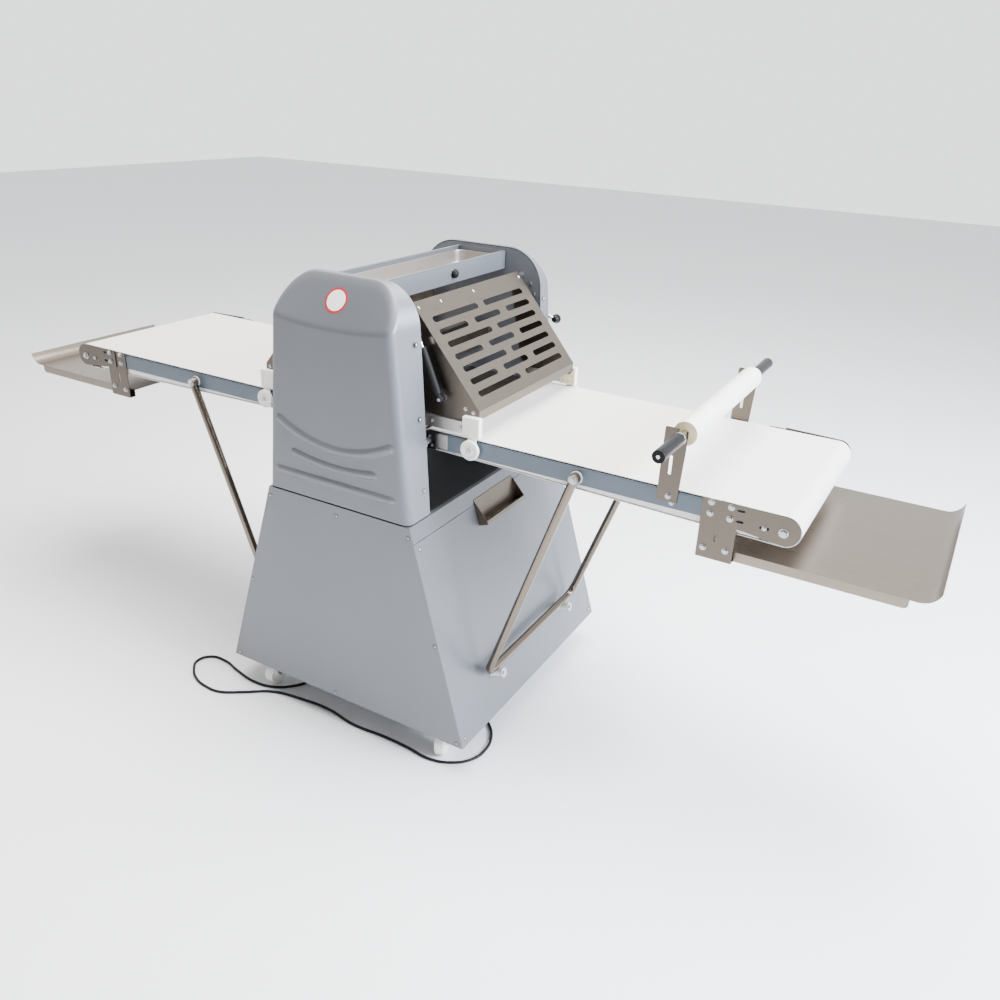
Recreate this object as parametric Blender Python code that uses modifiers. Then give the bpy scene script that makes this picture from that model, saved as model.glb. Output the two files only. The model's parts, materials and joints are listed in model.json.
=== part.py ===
"""Dough sheeter on castors: a roller head on a cabinet, with a folding belt table on each side.

Metres, +Z up, X along the belts, -Y the operator's side. The origin is on the floor below the middle.
The right table and guard are modelled, and the left ones are half-turn copies about Z.
"""
import math

import bmesh
import bpy
from mathutils import Matrix, Vector

# Driving dimensions
GAP = 0.0003                      # between pieces that touch
SHEET = 0.002                     # steel sheet
BELT_TOP = 0.902                  # working height of both belts
BELT_HALF = 0.2625
BELT_THICK = 0.002
HINGE_X = 0.205                   # drive roller and fold axis of the right table
DRIVE_R = 0.0235
END_X = 1.080                     # end roller of the right table
END_R = 0.033
RAIL_FACE = 0.266                 # outer face of a table rail
RAIL_BOTTOM = 0.855
RAIL_TOP = 0.8975

FRAME_FACE = 0.300                # inner face of a side frame
FRAME_PLATE = 0.005
COVER_FACE = 0.3925               # outer face of a side cover
COVER_FOOT = (0.2275, 0.690)      # half width and height at its foot
COVER_SHOULDER = (0.198, 1.165)
COVER_TOP = 1.260
COVER_CREASE = 1.154              # height above which a cover's face leans in
COVER_RIDGE = 0.322               # where the leaning face reaches the top

CABINET_TOP = (0.2275, 0.3925, 0.6856)     # half length, half width, height
CABINET_FOOT = (0.405, 0.4065, 0.092)
BAND_Z = 0.6435                   # foot of the chassis band above the sloped panels
FLOOR_Z = 0.094
GLAND = (-0.150, -0.240)          # where the mains cord leaves the floor
PEG_Y, PEG_R = 0.205, 0.010       # pegs that the strut rests on
PEG_GAP = 0.0028                  # kept between strut and peg, as a peg's collision shape is wider at the strut than it is

ROLLER_R = 0.036
ROLLER_OPENING = 0.012
ROLLER_HALF = 0.262
CROSSBAR_X = 0.0802
CROSSBAR_Z = (1.1989, 1.2487)
LEVER_HUB = (0.060, 1.100)

GUARD_HINGE = (0.135, 1.188)
GUARD_TOP = (0.1456, 1.204)
GUARD_FOOT = (0.339, 0.972)
GUARD_HALF = 0.257
WHEEL_CENTRE = (0.328, 0.280, 0.879)
SLOT_ROWS, SLOT_PITCH, SLOT_FIRST = 7, 0.0349, 0.0545
SLOT_HEIGHT, LONG_SLOT, SHORT_SLOT = 0.016, 0.205, 0.125
SPRING_FOOT = (0.240, 0.990)
SPRING_HEAD = (0.177, 1.137)
SPRING_Y = -0.279

TRAY_HALF = 0.252
TRAY_TOP = 0.786
TRAY_END = 1.368
STRUT_PIVOT = (0.6067, 0.8728)
STRUT_FOOT = (0.387, 0.2365)
STRUT_R = 0.011
STRUT_TOP_Y = 0.2785
STRUT_FOOT_Y = 0.260

PIN_AXIS = (0.841, 1.026)
PIN_SHAFT_R = 0.0075
CASTOR_X, CASTOR_Y = 0.297, 0.322
CASTOR_WHEEL_R = 0.0375
CASTOR_TRAIL = 0.030
CASTOR_LEANS = {"front_left": -90, "front_right": -73, "rear_left": 205, "rear_right": 60}

CORD_R = 0.004
CORD_HEIGHT = 0.0045
COIL_CENTRE, COIL_OUTER, COIL_INNER, COIL_HEIGHT = (0.235, -0.200), 0.0545, 0.0375, 0.0170
CORD_ROUTE = [
    (-0.150, -0.240, 0.0772), (-0.150, -0.240, 0.060), (-0.154, -0.245, 0.030), (-0.172, -0.264, 0.008),
    (-0.198, -0.294, CORD_HEIGHT),
    (-0.232, -0.350, CORD_HEIGHT), (-0.275, -0.384, CORD_HEIGHT), (-0.345, -0.398, CORD_HEIGHT),
    (-0.430, -0.384, CORD_HEIGHT), (-0.500, -0.367, CORD_HEIGHT), (-0.555, -0.377, CORD_HEIGHT),
    (-0.571, -0.412, CORD_HEIGHT), (-0.545, -0.452, CORD_HEIGHT), (-0.500, -0.482, CORD_HEIGHT),
    (-0.448, -0.495, CORD_HEIGHT), (-0.400, -0.491, CORD_HEIGHT), (-0.340, -0.456, CORD_HEIGHT),
    (-0.270, -0.407, CORD_HEIGHT), (-0.165, -0.385, CORD_HEIGHT), (-0.070, -0.380, CORD_HEIGHT),
    (0.030, -0.395, CORD_HEIGHT), (0.140, -0.390, CORD_HEIGHT), (0.220, -0.392, CORD_HEIGHT),
    (0.290, -0.398, CORD_HEIGHT), (0.350, -0.380, CORD_HEIGHT), (0.395, -0.335, CORD_HEIGHT),
    (0.405, -0.285, CORD_HEIGHT), (0.393, -0.231, CORD_HEIGHT), (0.357, -0.184, CORD_HEIGHT),
    (0.312, -0.157, CORD_HEIGHT), (0.2648, -0.1495, CORD_HEIGHT),
]

HINGE_Z = BELT_TOP - BELT_THICK - DRIVE_R
END_Z = BELT_TOP - BELT_THICK - END_R
LOWER_ROLLER_Z = BELT_TOP - ROLLER_R
UPPER_ROLLER_Z = LOWER_ROLLER_Z + 2 * ROLLER_R + ROLLER_OPENING

COLOURS = {                       # base colour, metallic, roughness
    "paint": ((0.42, 0.46, 0.50), 0.3, 0.42),
    "paint_dark": ((0.25, 0.28, 0.31), 0.3, 0.45),
    "stainless": ((0.60, 0.57, 0.53), 1.0, 0.33),
    "chrome": ((0.75, 0.75, 0.75), 1.0, 0.12),
    "zinc": ((0.45, 0.46, 0.47), 1.0, 0.40),
    "belt": ((0.85, 0.85, 0.84), 0.0, 0.60),
    "white_plastic": ((0.80, 0.78, 0.73), 0.0, 0.45),
    "black": ((0.02, 0.02, 0.02), 0.0, 0.50),
    "red": ((0.60, 0.03, 0.02), 0.0, 0.40),
}


# Scene and materials

def clear_scene():
    for obj in list(bpy.data.objects):
        bpy.data.objects.remove(obj, do_unlink=True)


def new_collection(name):
    collection = bpy.data.collections.new(name)
    bpy.context.scene.collection.children.link(collection)
    return collection


def material(name):
    if name in bpy.data.materials:
        return bpy.data.materials[name]
    colour, metallic, roughness = COLOURS[name]
    result = bpy.data.materials.new(name)
    result.use_nodes = True
    shader = result.node_tree.nodes["Principled BSDF"]
    shader.inputs["Base Color"].default_value = (*colour, 1)
    shader.inputs["Metallic"].default_value = metallic
    shader.inputs["Roughness"].default_value = roughness
    return result


# Shapes: each returns a mesh object in world coordinates

def from_bmesh(bm):
    mesh = bpy.data.meshes.new("shape")
    bm.to_mesh(mesh)
    bm.free()
    obj = bpy.data.objects.new("shape", mesh)
    SCRATCH.objects.link(obj)
    return obj


def bake(obj):
    """Apply an object's curve or modifiers and its transform, and return it as a mesh object."""
    bpy.context.view_layer.update()
    evaluated = obj.evaluated_get(bpy.context.evaluated_depsgraph_get())
    mesh = bpy.data.meshes.new_from_object(evaluated)
    mesh.transform(obj.matrix_world)
    bm = bmesh.new()
    bm.from_mesh(mesh)
    bmesh.ops.remove_doubles(bm, verts=bm.verts, dist=0.00001)
    bmesh.ops.recalc_face_normals(bm, faces=bm.faces)
    bpy.data.meshes.remove(mesh)
    bpy.data.objects.remove(obj)
    return from_bmesh(bm)


def box(a, b):
    """A box between two opposite corners."""
    size = [abs(q - p) for p, q in zip(a, b)]
    middle = [(p + q) / 2 for p, q in zip(a, b)]
    bm = bmesh.new()
    bmesh.ops.create_cube(bm, size=1, matrix=Matrix.Translation(middle) @ Matrix.Diagonal((*size, 1)))
    return from_bmesh(bm)


def rod(start, end, radius, sides=16):
    """A round bar between two points."""
    start, end = Vector(start), Vector(end)
    turn = (end - start).to_track_quat("Z", "Y").to_matrix().to_4x4()
    bm = bmesh.new()
    bmesh.ops.create_cone(bm, cap_ends=True, segments=sides, radius1=radius, radius2=radius,
                          depth=(end - start).length, matrix=Matrix.Translation((start + end) / 2) @ turn)
    return from_bmesh(bm)


def hull(points):
    """The convex solid around some points."""
    bm = bmesh.new()
    for point in points:
        bm.verts.new(point)
    bmesh.ops.convex_hull(bm, input=bm.verts)
    return from_bmesh(bm)


def turned(profile, centre, direction, sides=20):
    """A profile of (radius, height) points, top to bottom, turned about a line through centre."""
    bm = bmesh.new()
    points = [bm.verts.new((radius, 0, height)) for radius, height in profile]
    closed = profile[0][0] > 0 and profile[-1][0] > 0
    for first, second in zip(points, points[1:] + (points[:1] if closed else [])):
        bm.edges.new((first, second))
    obj = from_bmesh(bm)
    screw = obj.modifiers.new("turn", "SCREW")
    screw.steps = screw.render_steps = sides
    screw.use_merge_vertices = True
    screw.merge_threshold = 0.00001
    turn = Vector(direction).to_track_quat("Z", "Y").to_matrix().to_4x4()
    obj.matrix_world = Matrix.Translation(centre) @ turn
    return bake(obj)


def outline_xz(outline, y_from, y_to, holes=()):
    """A flat outline of (x, z) points with holes, made as thick as the stretch of Y."""
    curve = bpy.data.curves.new("outline", "CURVE")
    curve.dimensions = "2D"
    curve.fill_mode = "BOTH"
    curve.extrude = abs(y_to - y_from) / 2
    for loop in (outline, *holes):
        spline = curve.splines.new("POLY")
        spline.points.add(len(loop) - 1)
        spline.use_cyclic_u = True
        for point, (x, z) in zip(spline.points, loop):
            point.co = (x, z, 0, 1)
    obj = bpy.data.objects.new("outline", curve)
    SCRATCH.objects.link(obj)
    obj.matrix_world = Matrix.Translation((0, (y_from + y_to) / 2, 0)) @ Matrix.Rotation(math.pi / 2, 4, "X")
    return bake(obj)


def tube(points, radius, resolution=2):
    """A round tube through points."""
    curve = bpy.data.curves.new("tube", "CURVE")
    curve.dimensions = "3D"
    curve.bevel_depth = radius
    curve.bevel_resolution = resolution
    curve.use_fill_caps = True
    spline = curve.splines.new("POLY")
    spline.points.add(len(points) - 1)
    for target, point in zip(spline.points, points):
        target.co = (*point, 1)
    obj = bpy.data.objects.new("tube", curve)
    SCRATCH.objects.link(obj)
    return bake(obj)


def combine(operation, base, others):
    for other in others:
        modifier = base.modifiers.new(operation, "BOOLEAN")
        modifier.operation = operation
        modifier.object = other
        base = bake(base)
        bpy.data.objects.remove(other)
    return base


def fuse(base, *others):
    return combine("UNION", base, others)


def cut(base, *cutters):
    return combine("DIFFERENCE", base, cutters)


# Outlines

def rounded(corners, steps=3):
    """A closed outline whose (x, z, radius) corners become arcs."""
    outline = []
    for index, (x, z, radius) in enumerate(corners):
        corner = Vector((x, z))
        if radius == 0:
            outline.append((x, z))
            continue
        before = (Vector(corners[index - 1][:2]) - corner).normalized()
        after = (Vector(corners[(index + 1) % len(corners)][:2]) - corner).normalized()
        half = before.angle(after) / 2
        centre = corner + (before + after).normalized() * radius / math.sin(half)
        start = corner + before * radius / math.tan(half) - centre
        sweep = math.pi - 2 * half
        if before.x * after.y - before.y * after.x > 0:
            sweep = -sweep
        for step in range(steps + 1):
            angle = sweep * step / steps
            outline.append((centre.x + start.x * math.cos(angle) - start.y * math.sin(angle),
                            centre.y + start.x * math.sin(angle) + start.y * math.cos(angle)))
    return outline


def circle_points(x, z, radius, start, end, steps):
    """Points of an arc from one angle to another, in degrees."""
    angles = [math.radians(start + (end - start) * step / steps) for step in range(steps + 1)]
    return [(x + radius * math.cos(angle), z + radius * math.sin(angle)) for angle in angles]


def wrap_points(x, z, radius, start, end, steps):
    """Points of a run of flats that touch an arc from outside, in degrees."""
    half = (end - start) / steps / 2
    return circle_points(x, z, radius / math.cos(math.radians(half)), start + half, end - half, steps - 1)


def belt_loop(offset, steps=9):
    """The loop around both rollers of the right table, at an offset from their faces."""
    lean = 2 * math.degrees(math.atan2(END_Z - HINGE_Z, END_X - HINGE_X))
    inner = wrap_points(HINGE_X, HINGE_Z, DRIVE_R + offset, 90, 270 + lean, steps)
    outer = wrap_points(END_X, END_Z, END_R + offset, lean - 90, 90, steps)
    return inner + outer


def head_outline(inset):
    """The outline shared by the side frames and covers, moved inwards."""
    foot, foot_z = COVER_FOOT
    shoulder, shoulder_z = COVER_SHOULDER
    top = COVER_TOP - inset
    lean = (foot - shoulder) / (shoulder_z - foot_z)
    corner = foot - inset - lean * (top - foot_z)
    radius = 0.105 - inset
    return rounded([(-foot + inset, foot_z, 0), (-corner, top, radius),
                    (corner, top, radius), (foot - inset, foot_z, 0)], steps=6)


def cabinet_half(z, axis):
    """Half the cabinet's length (axis 0) or width (axis 1) at a height."""
    share = (z - CABINET_FOOT[2]) / (CABINET_TOP[2] - CABINET_FOOT[2])
    return CABINET_FOOT[axis] + share * (CABINET_TOP[axis] - CABINET_FOOT[axis])


# Finishing

def piece(obj, name, colour, origin=(0, 0, 0)):
    """Name a finished shape, colour it, and put its origin on its joint or reference point."""
    obj.data.transform(Matrix.Translation(-Vector(origin)))
    obj.location = origin
    obj.name = name
    obj.data.name = name
    obj.data.materials.clear()
    obj.data.materials.append(material(colour))
    obj.data.shade_smooth()
    obj.data.set_sharp_from_angle(angle=math.radians(35))
    SCRATCH.objects.unlink(obj)
    PARTS.objects.link(obj)
    return obj


def half_turn(obj, name):
    """A copy turned half way round about Z."""
    copy = bpy.data.objects.new(name, obj.data)
    copy.matrix_world = Matrix.Rotation(math.pi, 4, "Z") @ Matrix.Translation(obj.location)
    PARTS.objects.link(copy)
    return copy


# Cabinet

def frustum_corners(z, inset_x, inset_y):
    x, y = cabinet_half(z, 0) - inset_x, cabinet_half(z, 1) - inset_y
    return [(sx * x, sy * y, z) for sx in (-1, 1) for sy in (-1, 1)]


def ring(z_low, z_high, inset_x, inset_y, wall):
    """A welded ring that follows the cabinet's lean."""
    outer = hull(frustum_corners(z_low, inset_x, inset_y) + frustum_corners(z_high, inset_x, inset_y))
    over = 0.01
    inner = hull(frustum_corners(z_low - over, inset_x + wall, inset_y + wall)
                 + frustum_corners(z_high + over, inset_x + wall, inset_y + wall))
    return cut(outer, inner)


def corner_post(side_x, side_y, inset, width):
    points = []
    for z in (CABINET_FOOT[2] + 0.004, CABINET_TOP[2] - 0.006):
        x = side_x * (cabinet_half(z, 0) - inset)
        y = side_y * (cabinet_half(z, 1) - inset)
        points += [(x - side_x * a, y - side_y * b, z) for a in (0, width) for b in (0, width)]
    return hull(points)


def base_chassis():
    inset = SHEET + 2 * GAP
    foot_z, top_z = CABINET_FOOT[2], CABINET_TOP[2]
    foot_ring = ring(foot_z, 0.120, inset, inset, 0.012)
    band = ring(BAND_Z, top_z, 0, inset, 0.012)
    floor = hull(frustum_corners(FLOOR_Z, 0.008, 0.008) + frustum_corners(FLOOR_Z + 0.004, 0.008, 0.008))
    lid = hull(frustum_corners(0.660, 0.006, 0.008) + frustum_corners(0.664, 0.006, 0.008))
    posts = [corner_post(sx, sy, inset + 0.001, 0.022) for sx in (-1, 1) for sy in (-1, 1)]
    gland = rod((*GLAND, FLOOR_Z + 0.001), (*GLAND, FLOOR_Z - 0.016), 0.009, 12)
    return piece(fuse(foot_ring, band, floor, lid, *posts, gland), "base_chassis", "paint_dark")


def upright_panel(side):
    """A flat front or rear panel that covers the whole side of the cabinet."""
    points = []
    for z in (CABINET_FOOT[2], CABINET_TOP[2]):
        y = cabinet_half(z, 1)
        points += [(sx * cabinet_half(z, 0), side * (y - depth), z) for sx in (-1, 1) for depth in (0, SHEET)]
    return hull(points)


def slope_point(z, y, out):
    """A point over the right slope: its height on the slope, and its distance out of it."""
    lean = math.atan2(CABINET_FOOT[0] - CABINET_TOP[0], CABINET_TOP[2] - CABINET_FOOT[2])
    return Vector((cabinet_half(z, 0) + out * math.cos(lean), y, z + out * math.sin(lean)))


def sloped_panel():
    """The right slope's panel with the two pegs that the strut rests on."""
    points = []
    for z in (CABINET_FOOT[2], BAND_Z - 0.0015):
        y = cabinet_half(z, 1) - SHEET - GAP
        points += [slope_point(z, side * y, -depth) for side in (-1, 1) for depth in (0, SHEET)]
    panel = hull(points)
    drop = STRUT_R + PEG_R + PEG_GAP
    lean = math.atan2(CABINET_FOOT[0] - CABINET_TOP[0], CABINET_TOP[2] - CABINET_FOOT[2])
    clear = (STRUT_FOOT[0] - cabinet_half(STRUT_FOOT[1], 0)) * math.cos(lean)
    base_z = STRUT_FOOT[1] - clear * math.sin(lean) - drop * math.cos(lean)
    for side in (-1, 1):
        start, end = slope_point(base_z, side * PEG_Y, -0.001), slope_point(base_z, side * PEG_Y, 0.040)
        rim = slope_point(base_z, side * PEG_Y, 0.043)
        panel = fuse(panel, rod(start, end, PEG_R, 12), rod(end - (end - start) * 0.01, rim, 0.014, 12))
    return panel


def pull_handle():
    """A bent tray pull on the right slope: a back plate, a lip to pull and two gussets."""
    half = 0.105
    back, lip, top = 0.0015, 0.030, 0.656
    foot_z, lip_z = 0.584, 0.596
    outer = hull([slope_point(z, y, out) for y in (-half, half)
                  for z, out in ((top, GAP), (top, back), (foot_z, GAP), (foot_z + 0.002, lip), (lip_z, lip))])
    inner_half = half - SHEET
    inner = hull([slope_point(z, y, out) for y in (-inner_half, inner_half)
                  for z, out in ((top + 0.02, back), (top + 0.02, lip + 0.02), (foot_z + 0.004, back),
                                 (foot_z + 0.005, lip - back), (lip_z + 0.01, lip - back))])
    return cut(outer, inner)


def drive_motor():
    """The motor and its gearbox on the cabinet floor."""
    z, floor = 0.215, FLOOR_Z + 0.004 + GAP
    motor = rod((0, -0.17, z), (0, 0.10, z), 0.072, 20)
    gearbox = box((-0.06, 0.10, floor + 0.03), (0.06, 0.20, z + 0.06))
    foot = box((-0.08, -0.12, floor), (0.08, 0.18, z - 0.045))
    return fuse(motor, foot, gearbox)


def cabinet():
    base_chassis()
    piece(upright_panel(-1), "front_panel", "paint")
    piece(upright_panel(1), "rear_panel", "paint")
    right = piece(sloped_panel(), "right_panel", "paint")
    half_turn(right, "left_panel")
    piece(pull_handle(), "pull_handle", "stainless")
    piece(drive_motor(), "drive_motor", "paint_dark")


# Castors

def castor_fork(x, y, lean):
    """A swivel fork whose axle trails from the swivel in the direction lean."""
    top, crown, axle = 0.0916, 0.080, CASTOR_WHEEL_R
    leg, width = 0.0025, 0.016
    stem = rod((0, 0, top), (0, 0, crown - 0.001), 0.016, 16)
    crown_plate = box((-0.018, -width - leg, crown - 0.003), (0.030, width + leg, crown))
    side = [(-0.018, crown), (0.030, crown), (CASTOR_TRAIL + 0.010, axle + 0.004),
            (CASTOR_TRAIL + 0.004, axle - 0.009), (CASTOR_TRAIL - 0.008, axle - 0.006)]
    legs = [outline_xz(side, s * width, s * (width + leg)) for s in (-1, 1)]
    fork = fuse(crown_plate, stem, *legs)
    fork.data.transform(Matrix.Translation((x, y, 0)) @ Matrix.Rotation(math.radians(lean), 4, "Z"))
    return fork


def castors():
    wheel_width = 0.014
    for name, lean in CASTOR_LEANS.items():
        side_y, side_x = (-1 if part in ("front", "left") else 1 for part in name.split("_"))
        x, y = side_x * CASTOR_X, side_y * CASTOR_Y
        angle = math.radians(lean)
        piece(castor_fork(x, y, lean), f"castor_fork_{name}", "zinc", (x, y, CASTOR_WHEEL_R))
        trail = Vector((math.cos(angle), math.sin(angle), 0)) * CASTOR_TRAIL
        centre = Vector((x, y, CASTOR_WHEEL_R)) + trail
        axle = Vector((-math.sin(angle), math.cos(angle), 0))
        profile = [(0, wheel_width), (CASTOR_WHEEL_R - 0.003, wheel_width), (CASTOR_WHEEL_R, wheel_width - 0.004),
                   (CASTOR_WHEEL_R, 0.004 - wheel_width), (CASTOR_WHEEL_R - 0.003, -wheel_width), (0, -wheel_width)]
        piece(turned(profile, centre, axle, 24), f"castor_wheel_{name}", "white_plastic", centre)


# Head

def side_frame(side):
    """A side plate with the bosses for the two tables and the two guards."""
    outline = head_outline(SHEET + 0.0012)
    outline = [(x, max(z, CABINET_TOP[2] + GAP)) for x, z in outline]
    plate = outline_xz(outline, side * FRAME_FACE, side * (FRAME_FACE + FRAME_PLATE))
    start, reach = side * (FRAME_FACE + 0.001), side * (RAIL_FACE + 0.009)
    bosses = []
    for end in (-1, 1):
        x = end * HINGE_X
        bosses.append(rod((x, start, HINGE_Z), (x, reach, HINGE_Z), 0.0085, 12))
        x, z = end * GUARD_HINGE[0], GUARD_HINGE[1]
        bosses.append(rod((x, start, z), (x, side * (GUARD_HALF + GAP), z), 0.005, 10))
    return fuse(plate, *bosses)


def side_cover(side):
    """A pressed shell, open at its foot and towards the side frame."""
    bm = bmesh.new()
    outline = head_outline(0)
    inner = [bm.verts.new((x, side * FRAME_FACE, z)) for x, z in outline]
    outer = [bm.verts.new((x, side * COVER_FACE, z)) for x, z in outline]
    walls = [bm.faces.new((a, b, d, c)) for a, b, c, d in zip(inner, inner[1:], outer, outer[1:])]
    bm.faces.new(outer)
    rims = [edge for wall in walls for edge in wall.edges if all(v in outer for v in edge.verts)]
    bmesh.ops.recalc_face_normals(bm, faces=bm.faces)
    bmesh.ops.bevel(bm, geom=rims, offset=0.022, segments=3, profile=0.5, affect="EDGES")
    bmesh.ops.bisect_plane(bm, geom=bm.verts[:] + bm.edges[:] + bm.faces[:],
                           plane_co=(0, 0, COVER_CREASE), plane_no=(0, 0, 1))
    full, top = COVER_FACE - FRAME_FACE, COVER_RIDGE - FRAME_FACE
    for vert in bm.verts:
        share = max(0, (vert.co.z - COVER_CREASE) / (COVER_TOP - COVER_CREASE))
        depth = (abs(vert.co.y) - FRAME_FACE) * (1 - share * (1 - top / full))
        vert.co.y = side * (FRAME_FACE + depth)
    obj = from_bmesh(bm)
    for polygon in obj.data.polygons:
        if polygon.area > 0.1 and polygon.normal.y * side < 0:
            obj.data.flip_normals()
    shell = obj.modifiers.new("sheet", "SOLIDIFY")
    shell.thickness = SHEET
    shell.offset = -1
    return bake(obj)


def top_frame():
    """The ring above the rollers, with a rubber bumper on each crossbar."""
    x, y, wall = CROSSBAR_X, FRAME_FACE - GAP, 0.004
    low, high = CROSSBAR_Z
    outer = box((-x, -y, low), (x, y, high))
    inner = box((wall - x, wall - y, low - 0.01), (x - wall, y - wall, high + 0.01))
    middle = (low + high) / 2
    bumpers = [rod((end * (x - 0.001), 0.024 * end, middle), (end * (x + 0.014), 0.024 * end, middle), 0.012, 12)
               for end in (-1, 1)]
    return fuse(cut(outer, inner), *bumpers)


def flour_pan():
    """A shallow pan with round corners that hangs between the crossbars."""
    x, y = CROSSBAR_X - 0.0045, FRAME_FACE - 0.006
    outline = rounded([(-x, -y, 0.03), (x, -y, 0.03), (x, y, 0.03), (-x, y, 0.03)], steps=4)
    inside = rounded([(s * (x - SHEET), t * (y - SHEET), 0.028) for s, t in ((-1, -1), (1, -1), (1, 1), (-1, 1))],
                     steps=4)
    flip = Matrix.Rotation(-math.pi / 2, 4, "X")
    pan = outline_xz(outline, 1.195, 1.236)
    room = outline_xz(inside, 1.195 + SHEET, 1.30)
    for obj in (pan, room):
        obj.data.transform(Matrix.Scale(-1, 4, (0, 0, 1)) @ flip)
        obj.data.flip_normals()
    return cut(pan, room)


def roller(x, z, radius, body_half, axle_radius, axle_half, sides=24):
    profile = [(0, axle_half), (axle_radius, axle_half), (axle_radius, body_half), (radius, body_half),
               (radius, -body_half), (axle_radius, -body_half), (axle_radius, -axle_half), (0, -axle_half)]
    return turned(profile, (x, 0, z), (0, 1, 0), sides)


def upper_carriage():
    """The sliding carriage of the upper roller: two bearing blocks, a tie bar and a scraper blade."""
    y = FRAME_FACE - GAP
    block_in = ROLLER_HALF + 0.008
    low = UPPER_ROLLER_Z + ROLLER_R + 0.012
    tie = box((-0.030, -y, low), (0.030, y, low + 0.030))
    blocks = [box((-0.030, s * y, UPPER_ROLLER_Z - 0.022), (0.030, s * block_in, low + 0.001)) for s in (-1, 1)]
    blade = hull([(x, y, z) for y in (-0.255, 0.255)
                  for x, z in ((0.026, low + 0.001), (0.029, low + 0.001), (0.0395, low - 0.026), (0.0415, low - 0.026))])
    return fuse(tie, *blocks, blade)


def infeed_bed():
    """The fixed bed on both sides of the lower roller, joined by the tie that carries the lower scraper."""
    inner, outer, top, half = ROLLER_R + 0.004, HINGE_X - DRIVE_R - 0.0045, BELT_TOP - 0.0015, 0.262
    bed = [box((end * inner, -half, top - 0.003), (end * outer, half, top)) for end in (-1, 1)]
    skirts = [box((end * 0.0445, -half, top - 0.001), (end * 0.0475, half, 0.805)) for end in (-1, 1)]
    tie = box((-0.0475, -FRAME_FACE + GAP, 0.805), (0.0475, FRAME_FACE - GAP, 0.811))
    blade = hull([(x, y, z) for y in (-half, half)
                  for x, z in ((-0.010, 0.810), (-0.006, 0.810), (-0.004, 0.8285), (-0.0025, 0.8285))])
    return fuse(tie, *skirts, *bed, blade)


def thickness_lever():
    """The lever on the rear cover that lifts the upper roller."""
    x, z = LEVER_HUB
    face = COVER_FACE + GAP
    hub = rod((x, face, z), (x, face + 0.024, z), 0.022, 16)
    tip = (0.196, 1.046)
    arm = rod((x, face + 0.014, z), (tip[0], face + 0.024, tip[1]), 0.006, 10)
    knob = rod((tip[0], face + 0.012, tip[1]), (tip[0], face + 0.040, tip[1]), 0.014, 14)
    return fuse(hub, arm, knob)


def stop_button():
    y = COVER_FACE + 0.0047
    profile = [(0, 0.016), (0.014, 0.015), (0.020, 0.010), (0.020, 0.004), (0.011, 0.003), (0.011, 0), (0, 0)]
    return turned(profile, (-0.085, y, 1.105), (0, 1, 0), 16)


def head():
    piece(side_frame(-1), "side_frame_front", "paint")
    piece(side_frame(1), "side_frame_rear", "paint")
    piece(side_cover(-1), "side_cover_front", "paint")
    piece(side_cover(1), "side_cover_rear", "paint")
    piece(top_frame(), "top_frame", "paint")
    piece(flour_pan(), "flour_pan", "stainless")
    piece(upper_carriage(), "upper_carriage", "stainless", (0, 0, UPPER_ROLLER_Z))
    piece(roller(0, UPPER_ROLLER_Z, ROLLER_R, ROLLER_HALF, 0.012, ROLLER_HALF + 0.0077), "upper_roller",
          "chrome", (0, 0, UPPER_ROLLER_Z))
    piece(roller(0, LOWER_ROLLER_Z, ROLLER_R, ROLLER_HALF, 0.012, FRAME_FACE - GAP), "lower_roller",
          "chrome", (0, 0, LOWER_ROLLER_Z))
    piece(infeed_bed(), "infeed_bed", "stainless")
    piece(thickness_lever(), "thickness_lever", "black", (LEVER_HUB[0], COVER_FACE, LEVER_HUB[1]))
    piece(stop_button(), "stop_button", "red", (-0.085, COVER_FACE, 1.105))


# Guard over the right table

def slot_outline(middle_y, middle_s, length):
    radius = SLOT_HEIGHT / 2
    reach = length / 2 - radius
    right = circle_points(middle_y + reach, middle_s, radius, -90, 90, 3)
    left = circle_points(middle_y - reach, middle_s, radius, 90, 270, 3)
    return right + left


def guard_slots():
    slots = []
    for row in range(SLOT_ROWS):
        middle_s = SLOT_FIRST + row * SLOT_PITCH
        if row % 2 == 0:
            slots += [slot_outline(s * 0.118, middle_s, LONG_SLOT) for s in (-1, 1)]
        else:
            slots += [slot_outline(s * 0.160, middle_s, SHORT_SLOT) for s in (-1, 0, 1)]
    return slots


def guard_face():
    """The slotted front sheet, drawn flat and then leaned between its top and foot lines."""
    top, foot = Vector(GUARD_TOP), Vector(GUARD_FOOT)
    length = (foot - top).length
    half = GUARD_HALF - 0.0004
    flat = outline_xz([(-half, 0), (half, 0), (half, length), (-half, length)], 0, SHEET, guard_slots())
    down = (foot - top) / length
    across, slope = Vector((0, 1, 0)), Vector((down.x, 0, down.y))
    inward = across.cross(slope)
    frame = Matrix((across, inward, slope)).transposed().to_4x4()
    flat.data.transform(Matrix.Translation((top.x, 0, top.y)) @ frame)
    return flat


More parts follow.
